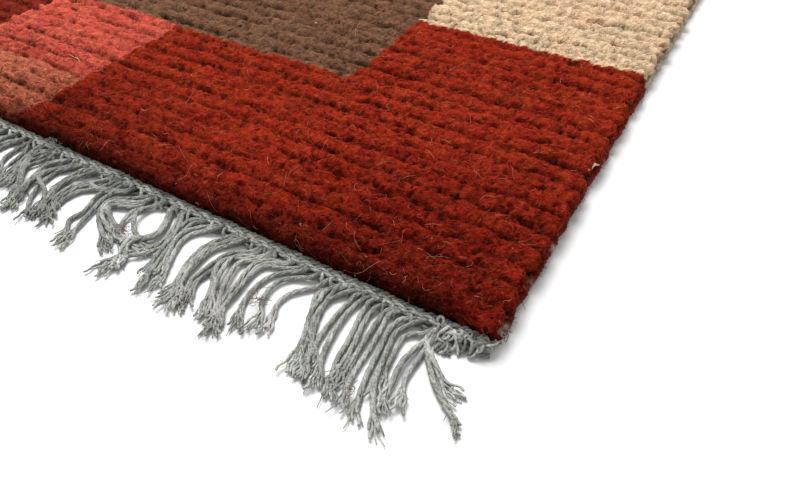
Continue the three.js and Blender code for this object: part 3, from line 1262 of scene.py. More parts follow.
    def skin(self, from_side: tuple[float, float], steps: tuple[int, int]) -> Skin:
        """The felted surface of a stretch of the seen corner.

        Args:
            from_side: Its first and last share of the way from the side edge.
            steps: Its steps across and along the rug.

        Returns:
            The surface.
        """
        across, along = np.linspace(*from_side, steps[0] + 1), np.linspace(0, 1, steps[1] + 1)
        s, t = np.meshgrid(across, along, indexing="ij")
        unrolled = self.seen.places(s, t)
        at = self.folded(unrolled)
        outward = unit(np.cross(np.gradient(at, axis=1), np.gradient(at, axis=0)))
        slope, groove = self.ribs(at[..., 0], at[..., 1])
        groove = groove * (0.75 + 0.45 * soft_noise(at, (3.0, 2.6, 2.6), 17))
        swirl = np.stack([soft_noise(at, 3.1, seed) for seed in (14, 15, 16)], axis=-1)
        tufts = 0.7 * soft_noise(at, (6.5, 4.8, 4.0), 11) + 0.5 * soft_noise(at, (3.4, 3.0, 3.0), 18)
        locks = 1.0 - 2.6 * np.abs(soft_noise(at + 1.5 * swirl, 2.6, 12))
        curls = 1.0 - 2.6 * np.abs(soft_noise(at + 1.1 * swirl, 1.25, 13))
        face = eased((self.crest - self.edge_round - at[..., 2]) / 2.0)
        knots = face * np.cos(2 * math.pi * (at[..., 0] + 0.6 * swirl[..., 0]) / self.size.stitch_pitch)
        hollow = soft_noise(at + 1.2 * swirl, (2.2, 1.6, 2.0), 19)
        pits = eased((0.26 * slope + 0.2 * groove - hollow - 0.36) / 0.30)
        rise = -RISE.sunken(slope, groove, pits) * (1 - 0.6 * face)
        rise = rise + RISE.raised(tufts, locks, curls) + RISE.knots * knots
        inner = self.seen.inside(unrolled[..., 0], unrolled[..., 1])
        rise = rise - 2.0 * (1 - eased(inner / 4.0))
        points = at + outward * rise[..., None]
        by_side = eased((at[..., 0] - self.size.half_width + 9.0) / 6.0)
        bulge = 1.3 * soft_noise(at, (60.0, 8.0, 60.0), 24) + 0.9 * soft_noise(at, (60.0, 3.4, 12.0), 25)
        points[..., 0] += by_side * (bulge - 1.0 * slope)
        points[..., 2] = np.maximum(points[..., 2], 0.5)
        shade = 0.95 - SHADE.sunken(slope, groove, pits) + SHADE.raised(tufts, locks, curls)
        # Painted shade: the turned-down faces darker, with the knots on them lighter and darker in turn
        shade = shade * (1 - 0.60 * face + SHADE.knots * knots)
        hanging = np.maximum(self.crest - self.edge_round - at[..., 2], 0.0)
        aslant = 0.35 * hanging * soft_noise(at, (5.0, 5.0, 90.0), 23)
        colours = self.plan.shaded(self.plan.dyes_at(at[..., 0], at[..., 1] + aslant), shade)
        return Skin(points, outward, colours)

    def surface(self, name: str, skin: Skin) -> bpy.types.Object:
        """The felted surface as a closed mesh, with a hidden underside.

        Args:
            name: The object's name.
            skin: The surface.

        Returns:
            The new object.
        """
        across, along = skin.steps
        shape = bmesh.new()
        bmesh.ops.create_grid(shape, x_segments=across, y_segments=along, size=0.5)
        draw_down(shape, -1.0)
        mesh = closed_mesh(shape, name)
        share = points_of(mesh)
        i = np.rint((0.5 - share[:, 0]) * across).astype(int)
        j = np.rint((share[:, 1] + 0.5) * along).astype(int)
        points = skin.points[i, j].copy()
        points[share[:, 2] < -0.5, 2] = self.underside
        mesh.vertices.foreach_set("co", (points * MM).ravel())
        return coloured(mesh, skin.colours[i, j])

    def add_fibres(self, gathered: JoinedShapes, skin: Skin, count: int) -> None:
        """Gathers curly fibres that lie over the felted surface.

        Args:
            gathered: Where they go.
            skin: The surface.
            count: How many fibres.
        """
        rng = self.rng
        start = skin.anywhere(rng, count)
        step = skin.sampled(skin.step_sizes(), start)
        t = np.linspace(0, 1, self.fibre_places)
        long = rng.uniform(1.8, 5.2, (count, 1))
        way = rng.uniform(0, 2 * math.pi, (count, 1)) + rng.normal(0, 2.1, (count, 1)) * t[None]
        path = walked(start, way, long / (len(t) - 1) / step)
        base = skin.sampled(skin.points, path)
        outward = unit(skin.sampled(skin.outward, path))
        lift = rng.uniform(0.15, 0.75, (count, 1))
        free = np.where(rng.random((count, 1)) < 0.35, rng.uniform(0.3, 1.3, (count, 1)), 0.0)
        rise = lift * np.sin(math.pi * t[None] ** 0.85) - 0.12 + free * t[None] ** 1.5
        routes = base + outward * rise[..., None]
        routes[..., 2] = np.maximum(routes[..., 2], 0.5)
        taper = np.where(t < 0.2, 0.7, 1.0) * (1.0 - 0.7 * t ** 3)
        radii = self.fibre_radius * rng.uniform(0.6, 1.3, (count, 1)) * taper[None]
        colours = skin.sampled(skin.colours, path) * rng.lognormal(0.08, 0.38, (count, 1, 1))
        pale = rng.uniform(0.0, 1.0, (count, 1, 1)) ** 4
        colours = colours * (1.0 + 0.20 * pale) + pale * np.array([0.07, 0.018, 0.009])
        Tubes(3).add_to(gathered, routes, radii, colours, outward[:, 0])

    def add_stray_hairs(self, gathered: JoinedShapes, skin: Skin, count: int) -> None:
        """Gathers long pale curly hairs that lie loose on the pile.

        Args:
            gathered: Where they go.
            skin: The surface under them.
            count: How many hairs.
        """
        rng = self.rng
        start = skin.anywhere(rng, count)
        step = skin.sampled(skin.step_sizes(), start)
        t = np.linspace(0, 1, 12)
        curl = rng.normal(0, 2.3, (count, 1)) * t[None]
        curl = curl + rng.normal(0, 0.7, (count, 1)) * np.sin(t[None] * rng.uniform(2.5, 5, (count, 1)))
        way = rng.uniform(0, 2 * math.pi, (count, 1)) + curl
        long = rng.gamma(3.0, 1.7, (count, 1))
        path = walked(start, way, long / (len(t) - 1) / step)
        outward = unit(skin.sampled(skin.outward, path))
        base = skin.sampled(skin.points, path)
        bridged = np.linspace(base[:, 0], base[:, -1], len(t), axis=1)
        base = 0.45 * base + 0.55 * bridged
        rise = 0.5 + 0.3 * np.sin(t[None] * rng.uniform(2, 5, (count, 1)))
        rise = rise + rng.uniform(0, 1.2, (count, 1)) * t[None]
        routes = base + outward * rise[..., None]
        routes[..., 2] = np.maximum(routes[..., 2], 0.3)
        radii = rng.uniform(0.04, 0.085, (count, 1)) * (1 - 0.4 * t[None] ** 2)
        warm = rng.random((count, 1)) ** 0.6
        hair = warm * np.array([0.68, 0.20, 0.10]) + (1 - warm) * np.array([0.70, 0.42, 0.28])
        hair = hair * rng.uniform(0.4, 1.05, (count, 1))
        Tubes(3).add_to(gathered, routes, radii, hair[:, None], outward[:, 0])

    def add_flecks(self, gathered: JoinedShapes, skin: Skin) -> None:
        """Gathers the odd bits that lie on this stretch of the pile.

        Args:
            gathered: Where they go.
            skin: The surface under them.
        """
        upper = skin.points[skin.points[..., 2] > 6.0]
        for fleck in PILE_FLECKS:
            line = rounded_line(np.array(fleck.line), 6) + self.size.corner[:2]
            apart = np.linalg.norm(upper[None, :, :2] - line[:, None], axis=-1)
            if apart.min(axis=1).max() > 2.0:
                continue
            height = upper[apart.argmin(axis=1), 2] + fleck.lift
            route = np.concatenate([line, height[:, None]], axis=-1)[None]
            radii = fleck.radius * np.array([[0.4, 0.9, 1.0, 1.0, 0.9, 0.4]])
            Tubes(6).add_to(gathered, route, radii, np.array(fleck.colour))

    def add_edge_fuzz(self, gathered: JoinedShapes, skin: Skin, count: int) -> None:
        """Gathers thin hairs that stand out of the side edge.

        Args:
            gathered: Where they go.
            skin: The surface whose first steps are the side edge.
            count: How many hairs.
        """
        rng = self.rng
        at = np.stack([rng.uniform(2, 16, count), rng.uniform(0, skin.steps[1], count)], axis=-1)
        start = skin.sampled(skin.points, at)
        outward = unit(skin.sampled(skin.outward, at) + rng.normal(0, 0.35, (count, 3)))
        aside = unit(np.cross(outward, rng.normal(0, 1, (count, 3))))
        t = np.linspace(0, 1, 8)
        long = rng.uniform(1.2, 4.6, (count, 1))
        bow = rng.normal(0, 0.45, (count, 1)) * long * t[None] ** 1.6
        bow = bow + 0.25 * np.sin(t[None] * rng.uniform(3, 8, (count, 1)))
        routes = start[:, None] + outward[:, None] * (long * t[None])[..., None]
        routes = routes + aside[:, None] * bow[..., None]
        routes[..., 2] = np.maximum(routes[..., 2], 0.3)
        radii = rng.uniform(0.03, 0.055, (count, 1)) * (1 - 0.5 * t[None])
        hair = skin.sampled(skin.colours, at) * 1.5 + np.array([0.06, 0.02, 0.01])
        Tubes(3).add_to(gathered, routes, radii, hair[:, None], aside)

    def stretch(self, stretch: Stretch) -> list[bpy.types.Object]:
        """Makes the pile of one stretch of the seen corner.

        Args:
            stretch: Which stretch.

        Returns:
            The felted surface's object and the loose wool's.
        """
        skin = self.skin(stretch.from_side, stretch.steps)
        surface = self.surface(f"pile_surface_{stretch.name}", skin)
        wool = JoinedShapes()
        self.add_fibres(wool, skin, stretch.fibres)
        self.add_stray_hairs(wool, skin, stretch.hairs)
        self.add_flecks(wool, skin)
        if stretch.edge_hairs:
            self.add_edge_fuzz(wool, skin, stretch.edge_hairs)
        return [surface, wool.build(f"wool_fibres_{stretch.name}")]


@dataclass(frozen=True)
class Clump:
    """Neighbouring fringe strands that lie together, with the same columns as in the solids."""

    strands: int
    shift: float
    pitch: float
    reach: float
    fall: float
    lead: float


# The first two strands end inside the braid and get no yarns, because loose ends lie in their place
CORNER_CLUMPS = (
    Clump(2, 0.0, 6.0, 3.8, 0.0, 0.0),
    Clump(1, 13.4, 4.0, 32.0, 0.0, 0.0),
    Clump(3, 7.6, 4.3, 40.0, -6.0, 0.6),
    Clump(1, 8.0, 4.0, 44.0, 0.0, 0.3),
    Clump(3, 8.6, 4.7, 41.0, 0.0, 0.0),
    Clump(4, -1.6, 4.6, 35.0, -8.0, 1.0),
    Clump(1, 2.0, 4.0, 42.0, 0.0, 1.0),
    Clump(3, 3.6, 4.5, 44.0, 0.0, 1.0),
    Clump(2, 6.0, 4.6, 42.0, 1.0, 1.0),
    Clump(3, -1.0, 4.4, 38.0, -6.0, 0.3),
    Clump(3, 6.6, 4.3, 36.0, 3.0, 0.6),
    Clump(1, 3.6, 4.0, 41.0, 0.0, 0.2),
    Clump(7, 0.4, 4.6, 35.0, -2.0, 0.8),
    Clump(7, -1.6, 4.8, 40.0, -3.0, 0.8),
)


@dataclass(frozen=True)
class LaidYarn:
    """A fringe yarn whose own course is seen.

    The course is in millimetres from the rug's near right corner, where X is negative along the end and
    Y is negative beyond the cloth.
    """

    strand: int
    lift: float
    points: tuple[tuple[float, float], ...]


CORNER_YARNS = (
    LaidYarn(2, 0.4, ((-17, -2.5), (-20.5, -5.5), (-20.5, -9), (-16.5, -13), (-11, -17.5),
        (-6.5, -20.5), (-0.5, -22))),
    LaidYarn(2, 0.2, ((-18, -2.5), (-21, -6), (-20, -10), (-16, -15.5), (-10.5, -21.5), (-5, -25.5),
        (-0.5, -28.5), (3, -33))),
    LaidYarn(3, 0.0, ((-19.5, -3), (-22.2, -6.8), (-25.7, -8.4), (-27.7, -11.3), (-27.6, -15.2),
        (-27, -19.1), (-26, -25.9), (-24.9, -30.4), (-23.5, -35))),
    LaidYarn(3, 0.8, ((-18.5, -2.5), (-21, -9), (-22.5, -15), (-23, -20.5), (-22, -27.5), (-21.5, -33),
        (-18.5, -38))),
    LaidYarn(3, 0.0, ((-17.5, -3), (-19.5, -7), (-19.5, -12.5), (-19.5, -17.5), (-19.5, -23.5),
        (-17.5, -29.5), (-16.5, -36))),
    LaidYarn(4, 0.0, ((-24, -2.5), (-28, -4), (-32, -6.5), (-33, -12), (-32, -17), (-30, -28.5),
        (-28, -36), (-24.5, -45.5))),
    LaidYarn(4, 1.0, ((-23.5, -2.5), (-27, -5), (-30.5, -10.5), (-29.5, -17), (-28, -23.5), (-26, -31),
        (-21.5, -38), (-16, -46.5))),
    LaidYarn(5, 0.3, ((-31, -2.5), (-35.5, -4), (-38, -7), (-37.5, -17.5), (-36.5, -29.5),
        (-35.5, -39))),
    LaidYarn(5, 0.0, ((-32, -3), (-36, -6), (-35.5, -12), (-34.5, -20), (-34, -29), (-32.5, -36.5),
        (-30, -44))),
    LaidYarn(6, 0.0, ((-39, -2.5), (-43.5, -4), (-44.5, -8.5), (-42, -21), (-41, -28.5), (-37.5, -37.5),
        (-34, -43.5))),
    LaidYarn(6, 0.5, ((-38, -3), (-41.5, -6.5), (-41.5, -13), (-39.5, -21.5), (-38.5, -30),
        (-38, -39))),
    LaidYarn(7, 0.0, ((-45, -2.5), (-49.5, -4.5), (-51, -11.5), (-51, -21.5), (-49.5, -30),
        (-46, -41))),
    LaidYarn(7, 0.4, ((-44, -3), (-47.5, -6.5), (-48.5, -13), (-47.5, -22), (-45.5, -30), (-43, -35.5),
        (-40.5, -42))),
    LaidYarn(8, 0.0, ((-50, -2.5), (-55, -3.5), (-59, -6.5), (-62, -11), (-57.5, -20), (-54.5, -24.5),
        (-52, -32.5), (-50.5, -40))),
    LaidYarn(8, 0.6, ((-49, -3), (-53.5, -5.5), (-57, -11), (-56.5, -19), (-53, -26), (-48.5, -30),
        (-47, -37))),
    LaidYarn(10, 0.0, ((-60.5, -2.5), (-63.5, -7.5), (-67, -11), (-70, -14.5), (-71.2, -18.5),
        (-70.5, -23), (-69, -27.5), (-67, -33.5))),
    LaidYarn(10, 0.5, ((-65, -2.5), (-68, -6), (-73, -8.5), (-76.5, -12), (-77.5, -17), (-76, -22.5),
        (-73, -27), (-71.5, -35))),
    LaidYarn(11, 0.2, ((-71, -2.5), (-74, -5), (-79, -7), (-84.5, -8.5), (-87, -12), (-87, -21),
        (-86, -30.5), (-81.5, -42.5))),
    LaidYarn(11, 0.0, ((-69.5, -2.5), (-72.5, -5.5), (-78, -8.5), (-81.5, -13), (-82.5, -21),
        (-80.5, -28), (-75.5, -38.5))),
    LaidYarn(12, 0.6, ((-77, -2.5), (-80, -5.5), (-86, -6.5), (-89.5, -9), (-90, -12.5), (-88.5, -21.5),
        (-87.5, -31), (-84, -43.5))),
    LaidYarn(13, 1.3, ((-85, -2.5), (-88, -8), (-92, -10.5), (-94.5, -13), (-94, -17), (-91, -25),
        (-86.5, -32.5), (-79, -41.5))),
    LaidYarn(14, 0.3, ((-87, -2.5), (-90, -8), (-96, -11), (-100, -13), (-101, -17), (-99.5, -21),
        (-95, -27), (-89, -41))),
    LaidYarn(15, 0.0, ((-91, -2.5), (-94, -6.5), (-100, -9.5), (-102.5, -13.5), (-104, -23),
        (-104, -28), (-99.5, -37.5), (-94.5, -41.5))),
    LaidYarn(16, 0.4, ((-98.5, -2.5), (-101.5, -5.5), (-106, -10), (-108, -14), (-107.5, -24.5),
        (-105.5, -34), (-106.5, -42.5))),
    LaidYarn(17, 0.9, ((-103.5, -2.5), (-106.5, -5.5), (-110, -9), (-111.5, -14), (-111, -20),
        (-109.5, -26), (-103.5, -37), (-100, -42))),
    LaidYarn(18, 0.2, ((-110.5, -2.5), (-113.5, -4.5), (-118.5, -8), (-121, -12), (-120.5, -17.5),
        (-115.5, -28.5), (-113.5, -34.5), (-112, -39.5))),
    LaidYarn(19, 0.5, ((-116.5, -2.5), (-119.5, -4), (-124, -6.5), (-124.5, -11.5), (-123, -18),
        (-119.5, -31), (-118, -37), (-117, -42))),
    LaidYarn(20, 0.0, ((-127, -2.5), (-131.5, -4.5), (-128.5, -13), (-127.5, -20), (-131, -26),
        (-135, -30), (-137.5, -38), (-138, -44.5))),
    LaidYarn(21, 1.0, ((-133, -2.5), (-137, -5), (-134, -11.5), (-132.5, -16), (-133.5, -20.5),
        (-137.5, -23), (-138, -27), (-136, -31), (-132, -38.5))),
    LaidYarn(22, 2.0, ((-139, -2.5), (-143.5, -5), (-146.5, -12), (-143.5, -17.5), (-138, -21.5),
        (-130, -23.5), (-125.5, -25))),
    LaidYarn(22, 0.6, ((-139.5, -2.5), (-142.5, -5), (-148.5, -10.5), (-149.5, -16), (-147, -21.5),
        (-141.5, -24.5), (-134, -25.5), (-127, -25.5))),
    LaidYarn(23, 1.2, ((-145, -2.5), (-152, -8), (-160, -12), (-161, -17), (-157, -21.5), (-148.5, -25),
        (-138.5, -28.5))),
    LaidYarn(23, 0.4, ((-147, -3), (-155, -7), (-163, -12), (-162.5, -18), (-157.5, -23), (-150, -27.5),
        (-141.5, -34))),
    LaidYarn(24, 0.8, ((-148, -3), (-150, -10), (-155, -12.5), (-160, -15), (-157.5, -18),
        (-150.5, -21.5), (-142.5, -25.5), (-137, -28.5))),
    LaidYarn(25, 0.0, ((-162, -2.5), (-167.5, -5), (-170.5, -12.5), (-167.5, -22.5), (-168.5, -28),
        (-164, -33.5), (-162, -40.5))),
    LaidYarn(25, 0.4, ((-161, -3), (-166, -6.5), (-166, -14.5), (-164, -22), (-162.5, -28),
        (-160.5, -34), (-159, -41))),
    LaidYarn(26, 0.8, ((-158.5, -2.5), (-161.5, -6), (-169, -8), (-174, -10), (-180, -10),
        (-183.5, -12.5), (-184, -17), (-184, -22), (-181, -27), (-175, -33.5))),
    LaidYarn(27, 0.2, ((-166, -2.5), (-170.5, -5.5), (-174.5, -11), (-179, -15), (-180.5, -21),
        (-179.5, -26), (-177.5, -31.5), (-174, -36))),
    LaidYarn(28, 0.3, ((-172, -2), (-175, -3.5), (-183, -4), (-188, -6.5), (-189.5, -10.5),
        (-189.5, -15.5), (-188.5, -20), (-184.5, -25), (-179.5, -30.5))),
    LaidYarn(29, 0.9, ((-178, -2.5), (-182, -4.5), (-186.5, -9), (-188, -14), (-188, -19),
        (-187, -23.5), (-186, -29), (-183.5, -36))),
    LaidYarn(30, 0.5, ((-186, -2), (-189, -3.5), (-195.5, -6), (-199.5, -10), (-203, -14),
        (-203.5, -19), (-203, -23), (-200.5, -28), (-196, -37))),
    LaidYarn(31, 2.2, ((-193, -3), (-197.5, -8), (-199.5, -13.5), (-199, -18.5), (-194.5, -21),
        (-190, -22.5), (-185, -27), (-180, -34))),
    LaidYarn(31, 0.3, ((-192, -2.5), (-195, -5), (-198, -10), (-198, -16), (-196.5, -21.5), (-193, -28),
        (-188, -33), (-184, -38))),
    LaidYarn(32, 0.0, ((-197, -2.5), (-200, -5), (-205, -7.5), (-206.5, -11.5), (-205.5, -16.5),
        (-202.5, -26), (-200, -31), (-195.5, -38))),
    LaidYarn(33, 0.6, ((-203, -2), (-206, -3.5), (-209, -6.5), (-210.5, -10.5), (-212.5, -15.5),
        (-212, -20.5), (-210.5, -26), (-209.5, -30.5))),
    LaidYarn(34, 1.1, ((-209.5, -2.5), (-212.5, -4.5), (-216.5, -6.5), (-219, -8.5), (-216, -13.5),
        (-211.5, -19), (-206.5, -23.5), (-202.5, -29.5), (-198.5, -35))),
    LaidYarn(35, 0.3, ((-215.5, -2.5), (-218.5, -4.5), (-220, -8.5), (-218.5, -14), (-216, -20.5),
        (-214, -26.5))),
    LaidYarn(36, 0.6, ((-222.5, -2.5), (-225.5, -4.5), (-223.5, -8.5), (-221.5, -13.5), (-220, -19),
        (-218.5, -24.5), (-217, -31))),
    LaidYarn(36, 0.2, ((-222, -2.5), (-226, -5.5), (-228, -9.5), (-227.5, -15), (-224.5, -21),
        (-220, -28))),
)

CORNER_LOOPS = (
    ((-20.2, -2.4, 4.2), (-20.3, -1.4, 5.2), (-19.3, -0.9, 5.7), (-18.4, -1.5, 5.1), (-18.2, -2.6, 4.2)),
    ((-5.5, -2.2, 3.4), (-4.8, -0.9, 4.2), (-3.6, -0.4, 4.6), (-2.6, -1.0, 3.6), (-2.2, -2.0, 2.6)),
)


@dataclass(frozen=True)
class Lint:
    """A tuft of loose fibres on an end, at a place from the rug's near right corner."""

    at: tuple[float, float, float]
    colour: tuple[float, float, float]
    wisps: int
    spread: float


CORNER_LINT = (
    Lint((-144.5, -21.8, 2.4), (0.40, 0.20, 0.18), 16, 0.8),
    Lint((-79.0, -22.5, 2.8), (0.35, 0.28, 0.21), 26, 1.8),
    Lint((-31.0, -36.0, 2.4), (0.42, 0.33, 0.24), 10, 0.7),
    Lint((-209.5, -1.2, 7.0), (0.40, 0.39, 0.37), 34, 2.2),
    Lint((-1.4, 3.2, 2.0), (0.26, 0.028, 0.010), 12, 0.4),
    Lint((-1.0, 6.0, 2.6), (0.26, 0.028, 0.010), 8, 0.4),
)


def plain_clumps(strands: int, seed: int) -> list[Clump]:
    """Clumps for a stretch of fringe that is finished plainly, as in the solids.

    Args:
        strands: How many strands they share.
        seed: Which row of clumps.

    Returns:
        The clumps in order.
    """
    clumps = []
    left = strands
    n = seed
    while left > 0:
        held = min(left, int(math.floor(between((2, 7), n))))
        clumps.append(Clump(
            held,
            between((-4, 7), n + 0.2),
            between((4.3, 5), n + 0.4),
            between((37, 49), n + 0.6),
            between((-3, 3), n + 0.8),
            between((0.3, 1), n + 0.9),
        ))
        left -= held
        n += 1
    return clumps


@dataclass
class EndFringe:
    """One end's braid and fringe, made at the near end and turned round for the far one."""

    name: str
    size: RugSize
    clumps: list[Clump]
    fine_strands: int
    far_end: bool
    yarn_radius: float = 1.05
    yarn_start: float = 2.4
    opened: float = 14.0
    loose_plies: int = 4
    hairs: int = 5
    bare_corner: float = 14.0
    left_shade: float = 0.34
    shade_from: float = 110.0
    shade_run: float = 90.0
    corner_ends: int = 42
    loop_radius: float = 0.55
    loop_colour: tuple[float, float, float] = (0.60, 0.57, 0.53)
    braid_inset: float = 1.2
    grey: tuple[float, float, float] = (0.398, 0.402, 0.368)
    fine_cable: Cable = Cable(4, 0.57, 0.48, 16.0, 4)
    plain_cable: Cable = Cable(3, 0.62, 0.52, 16.0, 4)
    braid_cable: Cable = Cable(3, 0.56, 0.52, 9.0, 4)
    rng: np.random.Generator = field(default_factory=lambda: np.random.default_rng(19))

    def runs(self) -> np.ndarray:
        """Each strand's root, tip, reach and lead, by the same rule as in the solids."""
        size = self.size
        rows = []
        first = 0
        free_from = size.half_width - size.strand_tip_width / 2
        for clump in self.clumps:
            middle = (clump.strands - 1) / 2
            wanted = size.half_width - (first + middle + 0.5) * size.stitch_pitch + clump.shift
            half_spread = middle * clump.pitch
            room_end = size.strand_tip_width / 2 - size.half_width + half_spread
            centre = max(room_end, min(wanted, free_from - half_spread))
            free_from = centre - half_spread - size.strand_min_pitch
            for n in range(clump.strands):
                share = n / (clump.strands - 1) if clump.strands > 1 else 0.0
                root = size.half_width - (first + n + 0.5) * size.stitch_pitch
                lead = min(clump.lead * size.strand_lead, root + size.half_width - size.strand_tip_width)
                reach = min(size.fringe_reach, clump.reach - share * clump.fall)
                rows.append((root, centre - (n - middle) * clump.pitch, reach, lead))
            first += clump.strands
        return np.array(rows)

    def across(self, runs: np.ndarray, out: np.ndarray) -> np.ndarray:
        """Where strands lie across the rug at distances out from the cloth's edge.

        A strand that ends inside the braid has no course, so its places are no numbers.
        """
        size = self.size
        room = size.fringe_reach - size.braid_width
        u = np.clip((out - size.braid_width) / room, 0, 1)
        whole = np.where(runs[:, 2] > size.braid_width, eased((runs[:, 2] - size.braid_width) / room), np.nan)
        shift = (runs[:, 1] - runs[:, 0])[:, None] * eased(u) / whole[:, None]
        return runs[:, 0, None] + shift - runs[:, 3, None] * np.sin(math.pi * u ** size.strand_lead_early)

    def routes(self, runs: np.ndarray, places: int) -> np.ndarray:
        """The centre lines of the two yarns of each strand, which leave the braid sideways.

        Args:
            runs: Rows as runs gives them.
            places: Points along each yarn.

        Returns:
            Yarns x places x 3, in even steps, with the first yarn of every strand before the second.
        """
        rng = self.rng
        count = len(runs)
        t = np.linspace(0, 1, 60)
        yarns = []
        for side in (-1, 1):
            reach = runs[:, 2] + rng.normal(0, 1.3, count)
            out = self.yarn_start + (reach - self.yarn_start)[:, None] * t[None]
            leave = 1 - eased((out - self.yarn_start) / rng.uniform(4.5, 8.5, (count, 1)))
            gap = 1.05 + 0.8 * np.sin(math.pi * t)[None] * rng.normal(0, 1, (count, 1))
            start_turn = rng.uniform(0, 6, (count, 1))
            swing = rng.normal(0, 1.5, (count, 1))
            wave = swing * np.sin(t[None] * rng.uniform(3, 7, (count, 1)) + start_turn)
            wave = wave + rng.normal(0, 0.4, (count, 1)) * np.sin(t[None] * rng.uniform(9, 16, (count, 1)))
            drift = rng.normal(0, 1.8, (count, 1)) * t[None] ** 2
            x = self.across(runs, out) + rng.uniform(2.4, 7.4, (count, 1)) * leave
            x = x + side * gap * (1 - 0.45 * leave) + (wave + drift) * eased((out - 7) / 12)
            free_share = np.clip((out - 6) / np.maximum(reach - 8, 1)[:, None], 0, 1)
            layer = np.maximum(rng.normal(0.3, 0.9, (count, 1)), 0) * np.sin(math.pi * free_share)
            z = self.fall(out) + layer + 0.5 * (side > 0) * (1 - eased((out - 4) / 6.0))
            yarns.append(np.stack([x, -self.size.half_length - out, z], axis=-1))
        return evenly(np.concatenate(yarns), places)

    def fall(self, out: np.ndarray) -> np.ndarray:
        """How high a yarn's middle lies at distances out from the cloth's edge."""
        return self.yarn_radius + 0.05 + 1.9 * (1 - eased((out - self.yarn_start) / 7.0))

    def laid(self, yarn: LaidYarn, places: int) -> np.ndarray:
        """The centre line of a yarn whose course is given.

        Args:
            yarn: The yarn.
            places: Points along it.

        Returns:
            Places x 3, in even steps.
        """
        line = rounded_line(np.array(yarn.points), 60)
        out = -line[:, 1]
        over = yarn.lift * np.sin(math.pi * np.clip((out - 7) / (out.max() - 9), 0, 1))
        x = self.size.half_width + line[:, 0]
        course = np.stack([x, line[:, 1] - self.size.half_length, self.fall(out) + over], axis=-1)
        return evenly(course[None], places)[0]

    def beside(self, course: np.ndarray) -> np.ndarray:
        """The centre line of a yarn that runs beside another, now close to it and now apart.

        Args:
            course: The other yarn's places x 3.

        Returns:
            Places x 3, in even steps.
        """
        rng = self.rng
        t = np.linspace(0, 1, len(course))
        apart = (1 if rng.random() < 0.65 else -1) * rng.uniform(1.5, 2.3)
        apart = apart * (0.5 + 0.5 * eased(t / 0.25))
        apart = apart + rng.normal(0, 1.1) * np.sin(math.pi * t * rng.uniform(0.8, 1.6))
        aside = course + apart[:, None] * np.array([1.0, -0.3, 0.0])
        aside[:, 2] += rng.uniform(0.0, 0.6) * np.sin(math.pi * t)
        kept = int(rng.uniform(0.88, 1.0) * len(course))
        return evenly(aside[None, :kept], len(course))[0]

    def lay_seen_yarns(self, routes: np.ndarray) -> np.ndarray:
        """Gives the strands whose courses are seen their own yarns.

        Args:
            routes: Yarns x places x 3, with the first yarn of every strand before the second.

        Returns:
            The yarns with those courses, and behind them any third yarn of a strand.
        """
        thirds = []
        for strand in sorted({yarn.strand for yarn in CORNER_YARNS}):
            courses = [self.laid(yarn, routes.shape[1]) for yarn in CORNER_YARNS if yarn.strand == strand]
            if len(courses) == 1:
                courses.append(self.beside(courses[0]))
            routes[strand], routes[strand + len(routes) // 2] = courses[:2]
            thirds.extend(courses[2:])
        return np.concatenate([routes, thirds]) if thirds else routes

    def add_tip_plies(self, gathered: JoinedShapes, routes: np.ndarray, shades: np.ndarray) -> None:
        """Gathers thin loose plies that stray from the yarns near their cut ends.

        Args:
            gathered: Where they go.
            routes: Yarns x places x 3.
            shades: A colour for each yarn.
        """
        rng = self.rng
        index = np.repeat(np.arange(len(routes)), self.loose_plies)
        count = len(index)
        t = np.linspace(0, 1, 7)[None]
        first = rng.uniform(0.66, 0.84, (count, 1))
        last = np.minimum(first + rng.uniform(0.12, 0.28, (count, 1)), 1.0)
        line = along_routes(routes[index], first + (last - first) * t)
        side, _ = beside_and_above(line)
        stray = np.clip(rng.normal(0, 2.2, (count, 1)), -3.0, 3.0) * t ** 1.3
        stray = stray + rng.normal(0, 0.5, (count, 1)) * np.sin(t * rng.uniform(4, 8, (count, 1)))
        plies = line + side * stray[..., None]
        plies[..., 2] = np.maximum(plies[..., 2] + rng.uniform(-1.0, 1.0, (count, 1)) * t, 0.3)
        radii = rng.uniform(0.20, 0.36, (count, 1)) * (1 - 0.4 * t ** 2)
        tone = rng.normal(1.12, 0.14, (count, 1)) * (1 + 0.2 * soft_noise(plies, 1.2, 91))
        Tubes(4).add_to(gathered, plies, radii, shades[index, None] * tone[..., None])

    def add_fuzz(self, gathered: JoinedShapes, routes: np.ndarray, shades: np.ndarray) -> None:
        """Gathers short hairs that stand out of the yarns.

        Args:
            gathered: Where they go.
            routes: Yarns x places x 3.
            shades: A colour for each yarn.
        """
        rng = self.rng
        index = np.repeat(np.arange(len(routes)), self.hairs)
        count = len(index)
        root = along_routes(routes[index], rng.uniform(0.08, 0.97, (count, 1)))
        way = unit(rng.normal(0, 1, (count, 1, 3)) * np.array([1.0, 1.0, 0.5]))
        aside = unit(np.cross(way, rng.normal(0, 1, (count, 1, 3))))
        t = np.linspace(0, 1, 5)[None, :, None]
        long = rng.uniform(1.0, 2.8, (count, 1, 1))
        hairs = root + way * (0.5 + long * t) + aside * rng.normal(0, 0.5, (count, 1, 1)) * long * t ** 2
        hairs[..., 2] = np.maximum(hairs[..., 2], 0.15)
        radii = rng.uniform(0.035, 0.07, (count, 1))
        Tubes(3).add_to(gathered, hairs, radii, 1.25 * shades[index, None], aside[:, 0])

    def shades(self, count: int) -> np.ndarray:
        """A neutral grey for each of several yarns."""
        tone = self.rng.normal(1.0, 0.10, (count, 1))
        tint = self.rng.normal(0, 0.012, (count, 3))
        return np.array(self.grey) * tone * (1 + tint)

